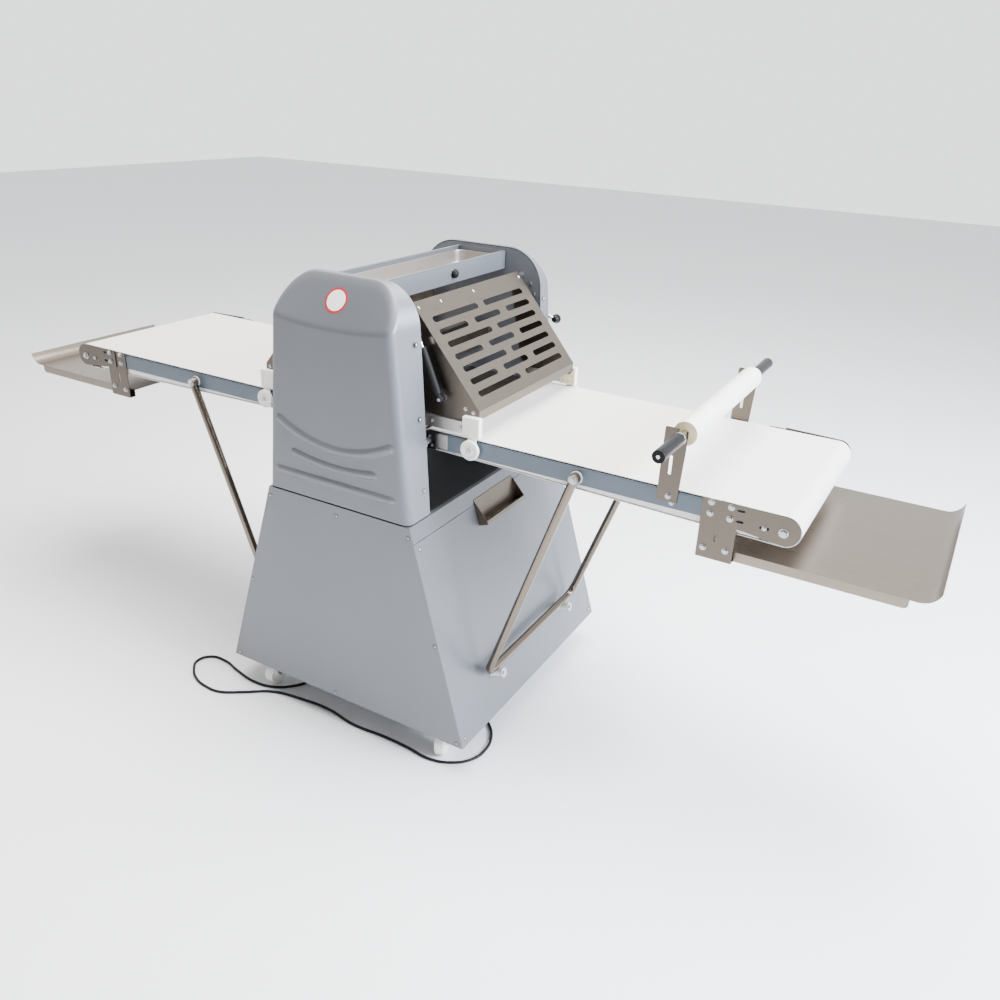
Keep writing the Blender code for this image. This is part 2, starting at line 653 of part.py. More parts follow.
def guard_panel():
    """The slotted sheet with its foot flange, side cheeks, side strips and wheel carriers."""
    (top_x, top_z), (foot_x, foot_z) = GUARD_TOP, GUARD_FOOT
    hinge_x, hinge_z = GUARD_HINGE
    inset = 0.0008
    flange_half = GUARD_HALF - inset
    flange = box((foot_x - SHEET - inset, -flange_half, foot_z), (foot_x - inset / 2, flange_half, 0.950))
    cheek = [(top_x - inset, top_z - inset), (foot_x - 2 * inset, foot_z - inset), (foot_x - 2 * inset, 0.949),
             (foot_x - 0.008, 0.938), (0.190, 0.936), (0.168, 0.960), (hinge_x - 0.013, hinge_z),
             (hinge_x - 0.004, top_z - 0.004)]
    extras = []
    for s in (-1, 1):
        edge = s * GUARD_HALF
        extras.append(outline_xz(cheek, edge, edge - s * SHEET))
        extras.append(box((0.1905, edge - s * 0.001, 0.940), (0.302, edge + s * 0.006, 0.909)))
        extras.append(box((0.300, edge - s * 0.0013, 0.958), (0.347, s * 0.274, 0.907)))
        extras.append(box((0.317, s * 0.2675, 0.910), (0.339, s * 0.2735, 0.870)))
    return fuse(guard_face(), flange, *extras)


def gas_spring():
    """The cylinder hangs on the guard, and the rod slides in its bore up to the side frame."""
    foot = Vector((SPRING_FOOT[0], SPRING_Y, SPRING_FOOT[1]))
    head = Vector((SPRING_HEAD[0], SPRING_Y, SPRING_HEAD[1]))
    along = (head - foot).normalized()
    bore, shell = 0.0045, 0.0085
    cylinder = turned([(0, 0.018), (bore, 0.018), (bore, 0.130), (shell, 0.130), (shell, 0.014),
                       (0.005, 0.010), (0.005, 0.004), (0, 0.004)], foot, along, 12)
    ball = rod(foot + Vector((0, -0.006, 0)), (foot.x, -GUARD_HALF - GAP, foot.z), 0.007, 10)
    rod_start, rod_end = foot + along * 0.022, head
    stem = rod(rod_start, rod_end, 0.004, 10)
    eye = rod(head + Vector((0, -0.006, 0)), head + Vector((0, 0.006, 0)), 0.007, 10)
    return fuse(cylinder, ball), fuse(stem, eye), foot, head


def guards():
    hinge = (GUARD_HINGE[0], 0, GUARD_HINGE[1])
    panel = piece(guard_panel(), "right_guard", "stainless", hinge)
    half_turn(panel, "left_guard")
    x, y, z = WHEEL_CENTRE
    profile = [(0, 0.005), (0.023, 0.005), (0.025, 0.003), (0.025, -0.003), (0.023, -0.005), (0, -0.005)]
    for s, near, far in ((-1, "front", "rear"), (1, "rear", "front")):
        centre = (x, s * y, z)
        wheel = piece(turned(profile, centre, (0, 1, 0), 20), f"right_guard_wheel_{near}", "white_plastic", centre)
        half_turn(wheel, f"left_guard_wheel_{far}")
    cylinder, stem, foot, head_end = gas_spring()
    half_turn(piece(cylinder, "right_gas_cylinder", "black", foot), "left_gas_cylinder")
    half_turn(piece(stem, "right_gas_rod", "chrome", head_end), "left_gas_rod")


# Right belt table

def wing_frame():
    """Two rails and a bed inside the belt, with the hinge cheeks at the inner end."""
    outer_end = END_X - END_R - 0.010
    inner_end = 0.235
    extras = []
    for s in (-1, 1):
        extras.append(box((inner_end, s * 0.240, RAIL_BOTTOM), (outer_end, s * RAIL_FACE, RAIL_TOP)))
        extras.append(box((0.226, s * 0.2665, 0.858), (inner_end + 0.020, s * 0.262, 0.895)))
        extras.append(box((0.195, s * 0.2635, RAIL_BOTTOM), (0.2267, s * 0.2745, RAIL_TOP)))
    bed = box((inner_end, -0.241, RAIL_TOP - 0.006), (outer_end, 0.241, RAIL_TOP))
    tie = box((inner_end, -0.241, RAIL_BOTTOM + 0.002), (inner_end + 0.004, 0.241, RAIL_TOP - 0.001))
    return fuse(bed, *extras, tie)


def end_plate(side):
    """The stainless plate that carries one end of the end roller and the belt's tensioner."""
    tip = circle_points(END_X, END_Z + 0.003, 0.0335, 78, -78, 8)
    outline = [(0.945, 0.853), (0.945, 0.906), *tip]
    return outline_xz(outline, side * 0.2688, side * 0.2710)


def catch_tray():
    """A tray below the table's end: a sheet with a curved lip, side flanges and hanger plates."""
    x_in, lip_r = 0.900, 0.040
    upper = circle_points(TRAY_END - 0.015, TRAY_TOP + lip_r, lip_r, -90, -15, 5)
    lower = circle_points(TRAY_END - 0.015, TRAY_TOP + lip_r, lip_r + SHEET, -15, -90, 5)
    sheet = outline_xz([(x_in, TRAY_TOP), *upper, *lower, (x_in, TRAY_TOP - SHEET)], -TRAY_HALF, TRAY_HALF)
    extras = []
    for s in (-1, 1):
        extras.append(box((x_in, s * TRAY_HALF, TRAY_TOP), (1.338, s * (TRAY_HALF - 0.0015), 0.763)))
        hanger = [(0.903, 0.763), (0.983, 0.763), (0.983, 0.903), (0.903, 0.903)]
        extras.append(outline_xz(hanger, s * 0.2664, s * 0.2684))
        extras.append(box((0.903, s * (TRAY_HALF - 0.001), 0.763), (0.983, s * 0.267, 0.765)))
    return fuse(sheet, *extras)


def strut():
    """A bent tube that props the table: two legs joined by a foot bar, with a flat lug on each leg."""
    (pivot_x, pivot_z), (foot_x, foot_z) = STRUT_PIVOT, STRUT_FOOT
    lean = Vector((pivot_x - foot_x, STRUT_TOP_Y - STRUT_FOOT_Y, pivot_z - foot_z))
    bend = 0.035
    half = []
    centre_y = STRUT_FOOT_Y - bend
    for step in range(5):
        angle = math.radians(90 * step / 4)
        rise = bend * (1 - math.cos(angle)) / lean.z
        half.append((foot_x + lean.x * rise, centre_y + bend * math.sin(angle), foot_z + bend * (1 - math.cos(angle))))
    half.append((pivot_x, STRUT_TOP_Y, pivot_z))
    mirrored = [(x, -y, z) for x, y, z in reversed(half)]
    lugs = [rod((pivot_x, s * 0.2665, pivot_z), (pivot_x, s * 0.2900, pivot_z), 0.0155, 14) for s in (-1, 1)]
    return fuse(tube(mirrored + half, STRUT_R, 2), *lugs)


def wing():
    hinge = (HINGE_X, 0, HINGE_Z)
    half_turn(piece(wing_frame(), "right_table_frame", "paint_dark", hinge), "left_table_frame")
    loop = outline_xz(belt_loop(GAP + BELT_THICK), -BELT_HALF, BELT_HALF, [belt_loop(GAP)])
    half_turn(piece(loop, "right_belt", "belt", hinge), "left_belt")
    drive = roller(HINGE_X, HINGE_Z, DRIVE_R, 0.2600, 0.008, 0.2630, 20)
    half_turn(piece(drive, "right_drive_roller", "zinc", hinge), "left_drive_roller")
    end_centre = (END_X, 0, END_Z)
    end = roller(END_X, END_Z, END_R, 0.2600, 0.008, 0.2680, 20)
    half_turn(piece(end, "right_end_roller", "zinc", end_centre), "left_end_roller")
    for s, near, far in ((-1, "front", "rear"), (1, "rear", "front")):
        half_turn(piece(end_plate(s), f"right_end_plate_{near}", "stainless", hinge), f"left_end_plate_{far}")
    half_turn(piece(catch_tray(), "right_catch_tray", "stainless", hinge), "left_catch_tray")
    pivot = (STRUT_PIVOT[0], 0, STRUT_PIVOT[1])
    half_turn(piece(strut(), "right_strut", "stainless", pivot), "left_strut")


# Rolling pin on the right table

def pin_holder(side):
    """A plate with an open notch for the pin's shaft and a slot to set its height."""
    x, z = PIN_AXIS
    notch = PIN_SHAFT_R + GAP
    top, foot = 1.0415, 0.872
    floor = circle_points(x, z, notch, 180, 360, 6)
    outline = [(0.800, foot), (0.8025, top), (x - notch, top), *floor,
               (x + notch, top - 0.003), (x + 0.013, top - 0.003), (x + 0.012, 0.990), (0.847, foot)]
    slot = [(0.8195, 0.934), (0.8265, 0.934), (0.8265, 0.979), (0.8195, 0.979)]
    return outline_xz(outline, side * 0.2664, side * 0.2694, [slot])


def rolling_pin():
    x, z = PIN_AXIS
    centre = (x, 0, z)
    for s, name in ((-1, "front"), (1, "rear")):
        piece(pin_holder(s), f"pin_holder_{name}", "stainless", (HINGE_X, 0, HINGE_Z))
    grip_in, grip_out, grip = 0.286, 0.410, 0.0145
    shaft = turned([(0, grip_out), (grip - 0.003, grip_out), (grip, grip_out - 0.004), (grip, grip_in),
                    (PIN_SHAFT_R, grip_in), (PIN_SHAFT_R, -grip_in), (grip, -grip_in), (grip, 0.004 - grip_out),
                    (grip - 0.003, -grip_out), (0, -grip_out)], centre, (0, 1, 0), 16)
    piece(shaft, "pin_shaft", "black", centre)
    bore, skin, half = PIN_SHAFT_R + 0.0005, 0.027, 0.250
    sleeve = turned([(bore, half), (skin, half), (skin, -half), (bore, -half)], centre, (0, 1, 0), 20)
    piece(sleeve, "pin_sleeve", "white_plastic", centre)


# Mains cord

def smooth_route(points, spacing):
    """Points along a Catmull-Rom curve through the route."""
    path = [Vector(point) for point in points]
    ends = [2 * path[0] - path[1], *path, 2 * path[-1] - path[-2]]
    result = [path[0]]
    for a, b, c, d in zip(ends, ends[1:], ends[2:], ends[3:]):
        steps = max(1, round((c - b).length / spacing))
        for step in range(1, steps + 1):
            t = step / steps
            result.append(0.5 * (2 * b + (c - a) * t + (2 * a - 5 * b + 4 * c - d) * t ** 2
                                 + (3 * b - a - 3 * c + d) * t ** 3))
    return result


def mains_cord():
    piece(tube(smooth_route(CORD_ROUTE, 0.036), CORD_R, 2), "power_cord", "black")
    x, y = COIL_CENTRE
    ring_profile = [(COIL_INNER, COIL_HEIGHT), (COIL_OUTER, COIL_HEIGHT), (COIL_OUTER, 0.0005), (COIL_INNER, 0.0005)]
    piece(turned(ring_profile, (x, y, 0), (0, 0, 1), 24), "cord_coil", "black")
    plug_x, plug_y, half_y, height = x - COIL_OUTER - GAP, y + COIL_OUTER - CORD_R, 0.016, 0.028
    body = box((plug_x, plug_y - half_y, 0.0005), (plug_x - 0.045, plug_y + half_y, 0.0005 + height))
    pin_x, pin_z, pin_y = plug_x - 0.044, 0.0145, 0.0095
    pins = [rod((pin_x, plug_y + s * pin_y, pin_z), (pin_x - 0.020, plug_y + s * pin_y, pin_z), 0.0024, 8)
            for s in (-1, 1)]
    tail_x, tail_z = plug_x + 0.0255, 0.0127         # stops short of the coil
    pins.append(rod((plug_x - 0.001, plug_y, tail_z), (tail_x, plug_y, tail_z), CORD_R, 12))
    piece(fuse(body, *pins), "power_plug", "black")


clear_scene()
PARTS = new_collection("dough_sheeter")
SCRATCH = new_collection("shapes")
cabinet()
castors()
head()
guards()
wing()
rolling_pin()
mains_cord()
bpy.data.collections.remove(SCRATCH)
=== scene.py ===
"""Looks of the dough sheeter: its pieces and finishes, the floor, lights and camera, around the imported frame."""
import json
import math

import bmesh
import bpy
from bpy.props import FloatProperty, FloatVectorProperty, IntProperty, PointerProperty
from bpy.types import Operator, Panel, PropertyGroup
from mathutils import Matrix, Vector


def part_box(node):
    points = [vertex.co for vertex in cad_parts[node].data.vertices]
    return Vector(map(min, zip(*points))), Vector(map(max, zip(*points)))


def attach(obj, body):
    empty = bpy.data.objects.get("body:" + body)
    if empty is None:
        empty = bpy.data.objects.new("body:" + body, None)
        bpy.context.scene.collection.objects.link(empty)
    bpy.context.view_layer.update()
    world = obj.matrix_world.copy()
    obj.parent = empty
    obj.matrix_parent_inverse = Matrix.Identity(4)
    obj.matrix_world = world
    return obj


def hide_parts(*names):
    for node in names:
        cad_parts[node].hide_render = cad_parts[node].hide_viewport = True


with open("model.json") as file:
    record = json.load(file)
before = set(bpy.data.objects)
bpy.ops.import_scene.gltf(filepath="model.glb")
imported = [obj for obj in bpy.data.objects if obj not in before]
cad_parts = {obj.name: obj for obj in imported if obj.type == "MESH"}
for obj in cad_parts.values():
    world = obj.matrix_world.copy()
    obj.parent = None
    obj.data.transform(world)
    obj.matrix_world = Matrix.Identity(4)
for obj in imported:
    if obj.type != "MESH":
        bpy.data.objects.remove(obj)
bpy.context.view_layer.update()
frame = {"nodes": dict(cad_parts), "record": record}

bl_info = {
    "name": "Dough sheeter",
    "version": (1, 0, 0),
    "blender": (4, 5, 0),
    "location": "View3D > Sidebar > Sheeter",
    "description": "Builds the finished pieces of a dough sheeter around its packed frame",
    "category": "Object",
}

BODY_OF = {node: body for body, nodes in frame["record"]["behaviour"]["bodies"].items() for node in nodes}
ROOT = "cabinet_and_head"
SIDES = (("right", False), ("left", True))       # each left piece is its right one after half a turn
ENDS = (("front", -1), ("rear", 1))
Y_AXIS = Vector((0, 1, 0))

# Sizes in metres, read from the frame where a box gives them
COVER_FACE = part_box("side_cover_rear")[1].y
COVER_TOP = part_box("side_cover_rear")[1].z
FRAME_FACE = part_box("side_cover_rear")[0].y
COVER_FOOT = (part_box("side_cover_rear")[1].x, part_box("side_cover_rear")[0].z)
COVER_SHOULDER = (0.198, 1.165)
COVER_CORNER = 0.105
COVER_RIM = 0.022
COVER_DRAFT = 0.016
COVER_RIDGE = 0.022              # depth left at the top of a cover, where its face has leaned in
COVER_SHEET = 0.0018
CREASE_Z, CREASE_BOW, CREASE_SOFT = 1.146, 0.014, 0.009      # where the face starts to lean in
CABINET_FOOT = (0.405, 0.4065, 0.092)
CABINET_TOP = (0.2275, 0.3925, 0.6856)
PANEL_SHEET = 0.0019
BAND_Z = 0.6435
PEG_Y, PEG_R, PEG_GAP = 0.205, 0.010, 0.0028
BELT_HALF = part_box("right_belt")[1].y
BELT_THICK, GAP = 0.002, 0.0003
HINGE = Vector((0.205, 0, 0.8765))
END_ROLLER = Vector((1.080, 0, 0.867))
DRIVE_R, END_R = 0.0235, 0.033
RAIL_FACE, RAIL_FOOT, RAIL_TOP = 0.266, 0.855, 0.8975
ROLLER_R, ROLLER_HALF = 0.036, 0.262
LOWER_Z, UPPER_Z = 0.866, 0.950
CROSSBAR_X, CROSSBAR_Z = 0.0802, (1.1989, 1.2487)
GUARD_HINGE = Vector((0.135, 0, 1.188))
GUARD_TOP, GUARD_FOOT = Vector((0.1456, 0, 1.204)), Vector((0.339, 0, 0.972))
GUARD_HALF = 0.257
WHEEL = Vector((0.328, 0.280, 0.879))
SPRING_FOOT, SPRING_HEAD = Vector((0.240, -0.279, 0.990)), Vector((0.177, -0.279, 1.137))
STRUT_PIVOT, STRUT_FOOT = Vector((0.6067, 0.2785, 0.8728)), Vector((0.387, 0.260, 0.2365))
STRUT_R = 0.011
TRAY_TOP, TRAY_HALF, TRAY_LIP = 0.786, 0.252, 0.040
PIN = Vector((0.841, 0, 1.026))
CASTOR = Vector((0.297, 0.322, 0.0375))
CASTOR_TRAIL = 0.030
CASTOR_LEANS = {"front_left": -90, "front_right": -73, "rear_left": 205, "rear_right": 60}
LEVER = Vector((0.060, 0.3928, 1.100))
STOP = Vector((-0.085, 0.3972, 1.105))
CORD_R = 0.004
CORD_HEIGHT = 0.0045
GLAND = (-0.150, -0.240, 0.0772)
CORD_DROP = [GLAND, (-0.150, -0.240, 0.060), (-0.154, -0.245, 0.030), (-0.172, -0.264, 0.008)]
CORD_ROUTE = CORD_DROP + [(x, y, CORD_HEIGHT) for x, y in (
    (-0.198, -0.294), (-0.232, -0.350), (-0.275, -0.384), (-0.345, -0.398), (-0.430, -0.384),
    (-0.500, -0.367), (-0.555, -0.377), (-0.571, -0.412), (-0.545, -0.452), (-0.500, -0.482),
    (-0.448, -0.4936), (-0.400, -0.491), (-0.340, -0.456), (-0.270, -0.407), (-0.165, -0.385),
    (-0.070, -0.380), (0.030, -0.395), (0.140, -0.390), (0.220, -0.392), (0.290, -0.398),
    (0.350, -0.380), (0.395, -0.335), (0.405, -0.285), (0.393, -0.231), (0.357, -0.184),
    (0.312, -0.157), (0.2648, -0.1495),
)]
COIL_CENTRE = (0.235, -0.200)
COIL_OUTER, COIL_LAYER = 0.0505, 0.0082
CAMERA_LENS, CAMERA_SENSOR = 32.3008, 36.0       # in millimetres
CAMERA_PLACE = Matrix(((0.86512028, -0.23995582, 0.44044081, 1.37079558),
                       (0.50018306, 0.34761761, -0.79308190, -1.99782910),
                       (0.03719964, 0.90641227, 0.42075288, 1.68214281),
                       (0, 0, 0, 1)))
SHARP_ANGLE = math.radians(32)                   # edges steeper than this are shaded sharp
SHADED_DECK_Z = (0.655, 0.670)                          # heights of the chassis deck inside the head, which gets painted shade


def hex_colour(code):
    """An sRGB hex value as a linear colour."""
    channels = [int(code[i:i + 2], 16) / 255 for i in (1, 3, 5)]
    return [c / 12.92 if c <= 0.04045 else ((c + 0.055) / 1.055) ** 2.4 for c in channels]


def colour_property(name, description, code):
    return FloatVectorProperty(name=name, description=description, default=hex_colour(code), size=3,
                               min=0, max=1, subtype="COLOR")


def length_property(name, description, default):
    return FloatProperty(name=name, description=description, default=default, min=0, unit="LENGTH")


class SheeterSizes(PropertyGroup):
    sheet_edge: length_property("Sheet edge", "Rounding of a cut sheet's edges", 0.0005)
    corner_round: length_property("Corner round", "Rounding of the cabinet's folded corners", 0.0018)
    screw_radius: length_property("Screw radius", "Radius of a panel screw's head", 0.0044)
    rib_rise: length_property("Rib rise", "How far the pressed ribs stand out of a cover", 0.0058)
    rib_half: length_property("Rib half width", "Half the width of a pressed rib", 0.0105)
    round_sides: IntProperty(name="Round sides", description="Sides of a turned piece", default=56, min=12)


class SheeterColours(PropertyGroup):
    cover_paint: colour_property("Cover paint", "Silver powder coat of the covers and cabinet", "#696c71")
    frame_paint: colour_property("Frame paint", "Blue-grey powder coat of the rails", "#59636d")
    stainless: colour_property("Stainless", "Brushed stainless sheet", "#847a6f")
    belt: colour_property("Belt", "Coated woven belt", "#e6e2dc")
    nylon: colour_property("White nylon", "Wheels, feet and pin sleeve", "#efece4")
    decal: colour_property("Decal", "Ring of the round decal", "#b3141c")


# Materials

def add_node(tree, kind, settings=None, links=None):
    """Add a node with its settings, by input or attribute name, and the links into it."""
    node = tree.nodes.new(kind)
    for key, value in (settings or {}).items():
        if isinstance(key, int) or key in node.inputs:
            node.inputs[key].default_value = value
        else:
            setattr(node, key, value)
    for key, socket in (links or {}).items():
        tree.links.new(socket, node.inputs[key])
    return node


def surface(name, colour, metallic, roughness, grain, relief, stretch=(1, 1, 1), shade=0.06, spread=0.05,
            settings=None, weave=None):
    """A finish with fine grain in its gloss and relief, and a slow drift in its colour.

    grain is the size of the finest mark and relief its depth, in metres. stretch shrinks the pattern's
    frequency along an axis, for brushed sheet. weave is a thread spacing that replaces the grain.
    """
    made = bpy.data.materials.new(name)
    made.use_nodes = True
    tree = made.node_tree
    shader = tree.nodes["Principled BSDF"]
    shader.inputs["Metallic"].default_value = metallic
    for key, value in (settings or {}).items():
        shader.inputs[key].default_value = value
    place = add_node(tree, "ShaderNodeTexCoord").outputs["Object"]
    brushed = add_node(tree, "ShaderNodeMapping", {"Scale": stretch}, {"Vector": place}).outputs["Vector"]
    if weave:
        scale = 0.314 / weave              # a wave texture repeats every 0.314 units at scale 1
        warp = add_node(tree, "ShaderNodeTexWave", {"Scale": scale, "bands_direction": "X"}, {"Vector": place})
        weft = add_node(tree, "ShaderNodeTexWave", {"Scale": scale, "bands_direction": "Y"}, {"Vector": place})
        fine = add_node(tree, "ShaderNodeMath", {"operation": "MULTIPLY"},
                        {0: warp.outputs["Fac"], 1: weft.outputs["Fac"]}).outputs[0]
    else:
        fine = add_node(tree, "ShaderNodeTexNoise", {"Scale": 1 / grain, "Detail": 3.0, "Roughness": 0.55},
                        {"Vector": brushed}).outputs["Fac"]
    drift = add_node(tree, "ShaderNodeTexNoise", {"Scale": 5.0, "Detail": 2.0}, {"Vector": brushed}).outputs["Fac"]
    both = add_node(tree, "ShaderNodeMath", {"operation": "ADD"}, {0: fine, 1: drift}).outputs[0]
    factor = add_node(tree, "ShaderNodeMapRange", {"From Min": 0.7, "From Max": 1.3}, {"Value": both}).outputs[0]
    dark = (*[c * (1 - shade) for c in colour], 1)
    light = (*[min(1, c * (1 + shade)) for c in colour], 1)
    tint = add_node(tree, "ShaderNodeMix", {"data_type": "RGBA", 6: dark, 7: light}, {0: factor}).outputs[2]
    gloss = add_node(tree, "ShaderNodeMapRange", {"From Min": 0.3, "From Max": 0.7, "To Min": roughness - spread,
                                                  "To Max": roughness + spread}, {"Value": fine}).outputs[0]
    bump = add_node(tree, "ShaderNodeBump", {"Strength": 1.0, "Distance": relief}, {"Height": fine}).outputs[0]
    tree.links.new(tint, shader.inputs["Base Color"])
    tree.links.new(gloss, shader.inputs["Roughness"])
    tree.links.new(bump, shader.inputs["Normal"])
    return made


FINISHES = {}


def make_finishes():
    """The sheeter's materials, by the short name that the pieces use."""
    colours = bpy.context.scene.sheeter_colours
    along_y, along_x, up = (1, 0.02, 1), (0.02, 1, 1), (1, 1, 0.02)
    coat = {"Coat Weight": 0.08, "Coat Roughness": 0.3}
    skin = {"Subsurface Weight": 0.06, "Subsurface Radius": (0.003, 0.002, 0.0015)}
    FINISHES.update(
        # Polyester powder coat with fine aluminium flake: satin, with a faint orange peel of 2 mm
        silver=surface("Silver powder coat", colours.cover_paint, 0.35, 0.42, 0.0020, 0.00003, shade=0.03,
                       settings=coat),
        # The same coat in blue-grey on the rails and frames
        blue_grey=surface("Blue-grey powder coat", colours.frame_paint, 0.3, 0.42, 0.0020, 0.00003, shade=0.03,
                          settings=coat),
        # Cold-rolled stainless, brushed with fine grit: streaks 0.8 mm wide, drawn coarser than the real 0.1 mm
        # so that they show. The across and upright copies are darkened to 0.74 and 0.52 of the colour: painted
        # reflection of the dim room that the sheet mirrors
        steel_y=surface("Brushed stainless across, painted dim reflection", [c * 0.74 for c in colours.stainless], 1.0, 0.34, 0.0008,
                        0.00001, along_y, shade=0.07, spread=0.07),
        steel_x=surface("Brushed stainless along", colours.stainless, 1.0, 0.32, 0.0008, 0.00001, along_x,
                        shade=0.07, spread=0.07),
        # Painted reflection: this upright copy is darkened to about half, for the dim room in front that it mirrors
        steel_z=surface("Brushed stainless upright, painted dark reflection", [c * 0.52 for c in colours.stainless], 1.0, 0.30, 0.0008,
                        0.000002, up, shade=0.04, spread=0.02),
        # Drawn tube, bright from the mill: sharp highlights along its length
        tube=surface("Drawn stainless tube", hex_colour("#70665c"), 1.0, 0.20, 0.0040, 0.000004, shade=0.03),
        # Deep-drawn stainless with a pale satin finish
        pan=surface("Satin stainless", hex_colour("#c6c0ba"), 1.0, 0.38, 0.0030, 0.000006, shade=0.04),
        # Hard chrome on ground steel: bright, with the faint turning marks of grinding
        chrome=surface("Hard chrome", hex_colour("#cfcfd0"), 1.0, 0.12, 0.0008, 0.000002, along_x, shade=0.02,
                       spread=0.03),
        # Zinc-plated screws and forks: dull grey with a slight mottle
        zinc=surface("Zinc plate", hex_colour("#aeb0b1"), 1.0, 0.34, 0.0030, 0.00001, shade=0.10),
        # Polyester belt with a white food-grade coating; its threads are 0.5 mm apart and drawn at 1.6 mm to show
        belt=surface("Coated woven belt", colours.belt, 0.0, 0.58, 0.0020, 0.00004, shade=0.02, weave=0.0016),
        # Cast nylon and moulded ABS: off-white, satin, faint mould texture, light going in a little way
        nylon=surface("White nylon", colours.nylon, 0.0, 0.42, 0.0015, 0.00001, shade=0.02, settings=skin),
        # Undyed nylon in thick sections: the same satin, yellower
        cream=surface("Cream nylon", hex_colour("#e2d3a4"), 0.0, 0.45, 0.0015, 0.00001, shade=0.03),
        # Glass-filled nylon and satin black enamel: deep black, with only a weak reflection
        black=surface("Satin black", hex_colour("#111113"), 0.0, 0.30, 0.0012, 0.00002, shade=0.15,
                      settings={"Specular IOR Level": 0.14}),
        # Moulded rubber: matt, with a fine 1 mm grain
        rubber=surface("Black rubber", hex_colour("#141414"), 0.0, 0.62, 0.0010, 0.00003, shade=0.15,
                       settings={"Specular IOR Level": 0.2}),
        # PVC mains sheath, slightly glossy from its extrusion
        sheath=surface("Cord sheath", hex_colour("#17171a"), 0.0, 0.48, 0.0012, 0.00001, shade=0.12,
                       settings={"Specular IOR Level": 0.2}),
        # Moulded ABS cap, glossy and evenly red
        red=surface("Red moulded plastic", hex_colour("#b5121b"), 0.0, 0.28, 0.0015, 0.00001, shade=0.04),
        # Printed vinyl film, smooth with a soft sheen
        print_red=surface("Red printed vinyl", colours.decal, 0.0, 0.40, 0.0020, 0.000005, shade=0.03),
        print_white=surface("White printed vinyl", hex_colour("#f0f0f2"), 0.0, 0.40, 0.0020, 0.000005, shade=0.02),
        # Painted sand-cast aluminium: dark grey, rough, pitted every 2.5 mm
        cast=surface("Cast motor housing", hex_colour("#4a4f55"), 0.4, 0.55, 0.0025, 0.00015, shade=0.08),
        # Near-black, nearly matt: painted shade on the deck inside the head and in the countersunk rings round the
        # screws, and the real colour of the dial marks
        shadow=surface("Painted shade and dark marks", hex_colour("#2a2c30"), 0.2, 0.6, 0.0010, 0.00001, shade=0.1),
    )


# Shapes: each returns a bmesh in its place

def round_edges(bm, edges, width, segments=2):
    if width > 0 and edges:
        bmesh.ops.bevel(bm, geom=list(edges), offset=width, offset_type="OFFSET", segments=segments, profile=0.5,
                        affect="EDGES", clamp_overlap=True, material=-1)


def sharp_edges(bm, degrees=35):
    limit = math.radians(degrees)
    return [edge for edge in bm.edges if len(edge.link_faces) == 2 and edge.calc_face_angle(0) > limit]


def along(centre, direction):
    """The matrix that puts the origin at centre and +Z along direction."""
    return Matrix.Translation(centre) @ Vector(direction).to_track_quat("Z", "Y").to_matrix().to_4x4()


def block(low, high, edge=0.0008, segments=2):
    size = [abs(b - a) for a, b in zip(low, high)]
    middle = [(a + b) / 2 for a, b in zip(low, high)]
    bm = bmesh.new()
    bmesh.ops.create_cube(bm, size=1, matrix=Matrix.Translation(middle) @ Matrix.Diagonal((*size, 1)))
    round_edges(bm, bm.edges[:], edge, segments)
    return bm


def bar(start, end, radius, edge=0.0006, sides=32, far_radius=None):
    """A round bar, or one with six sides for a nut, between two points."""
    start, end = Vector(start), Vector(end)
    bm = bmesh.new()
    bmesh.ops.create_cone(bm, cap_ends=True, segments=sides, radius1=radius,
                          radius2=radius if far_radius is None else far_radius, depth=(end - start).length)
    round_edges(bm, sharp_edges(bm), edge)
    bmesh.ops.transform(bm, matrix=along((start + end) / 2, end - start), verts=bm.verts)
    return bm


def stub(centre, direction, start, end, radius, edge=0.0006, sides=32):
    """A round or six-sided bar that runs between two distances from centre, along direction."""
    return bar(centre + direction * start, centre + direction * end, radius, edge, sides)


def mirrored(edge):
    """A profile of (radius, height) points, and then its reflection in height zero."""
    return edge + [(radius, -height) for radius, height in reversed(edge)]


def turned(profile, centre, direction, edge=0.0005, sides=None):
    """A profile of (radius, height) points turned about a line through centre."""
    sides = sides or bpy.context.scene.sheeter_sizes.round_sides
    bm = bmesh.new()
    verts = [bm.verts.new((radius, 0, height)) for radius, height in profile]
    closed = profile[0][0] > 0 and profile[-1][0] > 0
    edges = [bm.edges.new(pair) for pair in zip(verts, verts[1:] + (verts[:1] if closed else []))]
    bmesh.ops.spin(bm, geom=verts + edges, cent=(0, 0, 0), axis=(0, 0, 1), dvec=(0, 0, 0),
                   angle=2 * math.pi, steps=sides, use_merge=True, use_duplicate=False)
    bmesh.ops.remove_doubles(bm, verts=bm.verts, dist=0.000001)
    bmesh.ops.recalc_face_normals(bm, faces=bm.faces)
    round_edges(bm, sharp_edges(bm), edge)
    bmesh.ops.transform(bm, matrix=along(centre, direction), verts=bm.verts)
    return bm


def plate(outline, y_from, y_to, holes=(), edge=0.0005, segments=2):
    """A flat outline of (x, z) points with holes, as thick as the stretch of Y."""
    bm = bmesh.new()
    for loop in (outline, *holes):
        verts = [bm.verts.new((x, y_from, z)) for x, z in loop]
        for pair in zip(verts, verts[1:] + verts[:1]):
            bm.edges.new(pair)
    bmesh.ops.remove_doubles(bm, verts=bm.verts, dist=0.000001)
    if holes:
        bmesh.ops.triangle_fill(bm, use_beauty=True, use_dissolve=False, edges=bm.edges[:])
    else:
        bmesh.ops.contextual_create(bm, geom=bm.edges[:])
    grown = bmesh.ops.extrude_face_region(bm, geom=bm.faces[:])["geom"]
    moved = [item for item in grown if isinstance(item, bmesh.types.BMVert)]
    bmesh.ops.translate(bm, vec=(0, y_to - y_from, 0), verts=moved)
    bmesh.ops.recalc_face_normals(bm, faces=bm.faces)
    round_edges(bm, sharp_edges(bm, 30), edge, segments)
    return bm


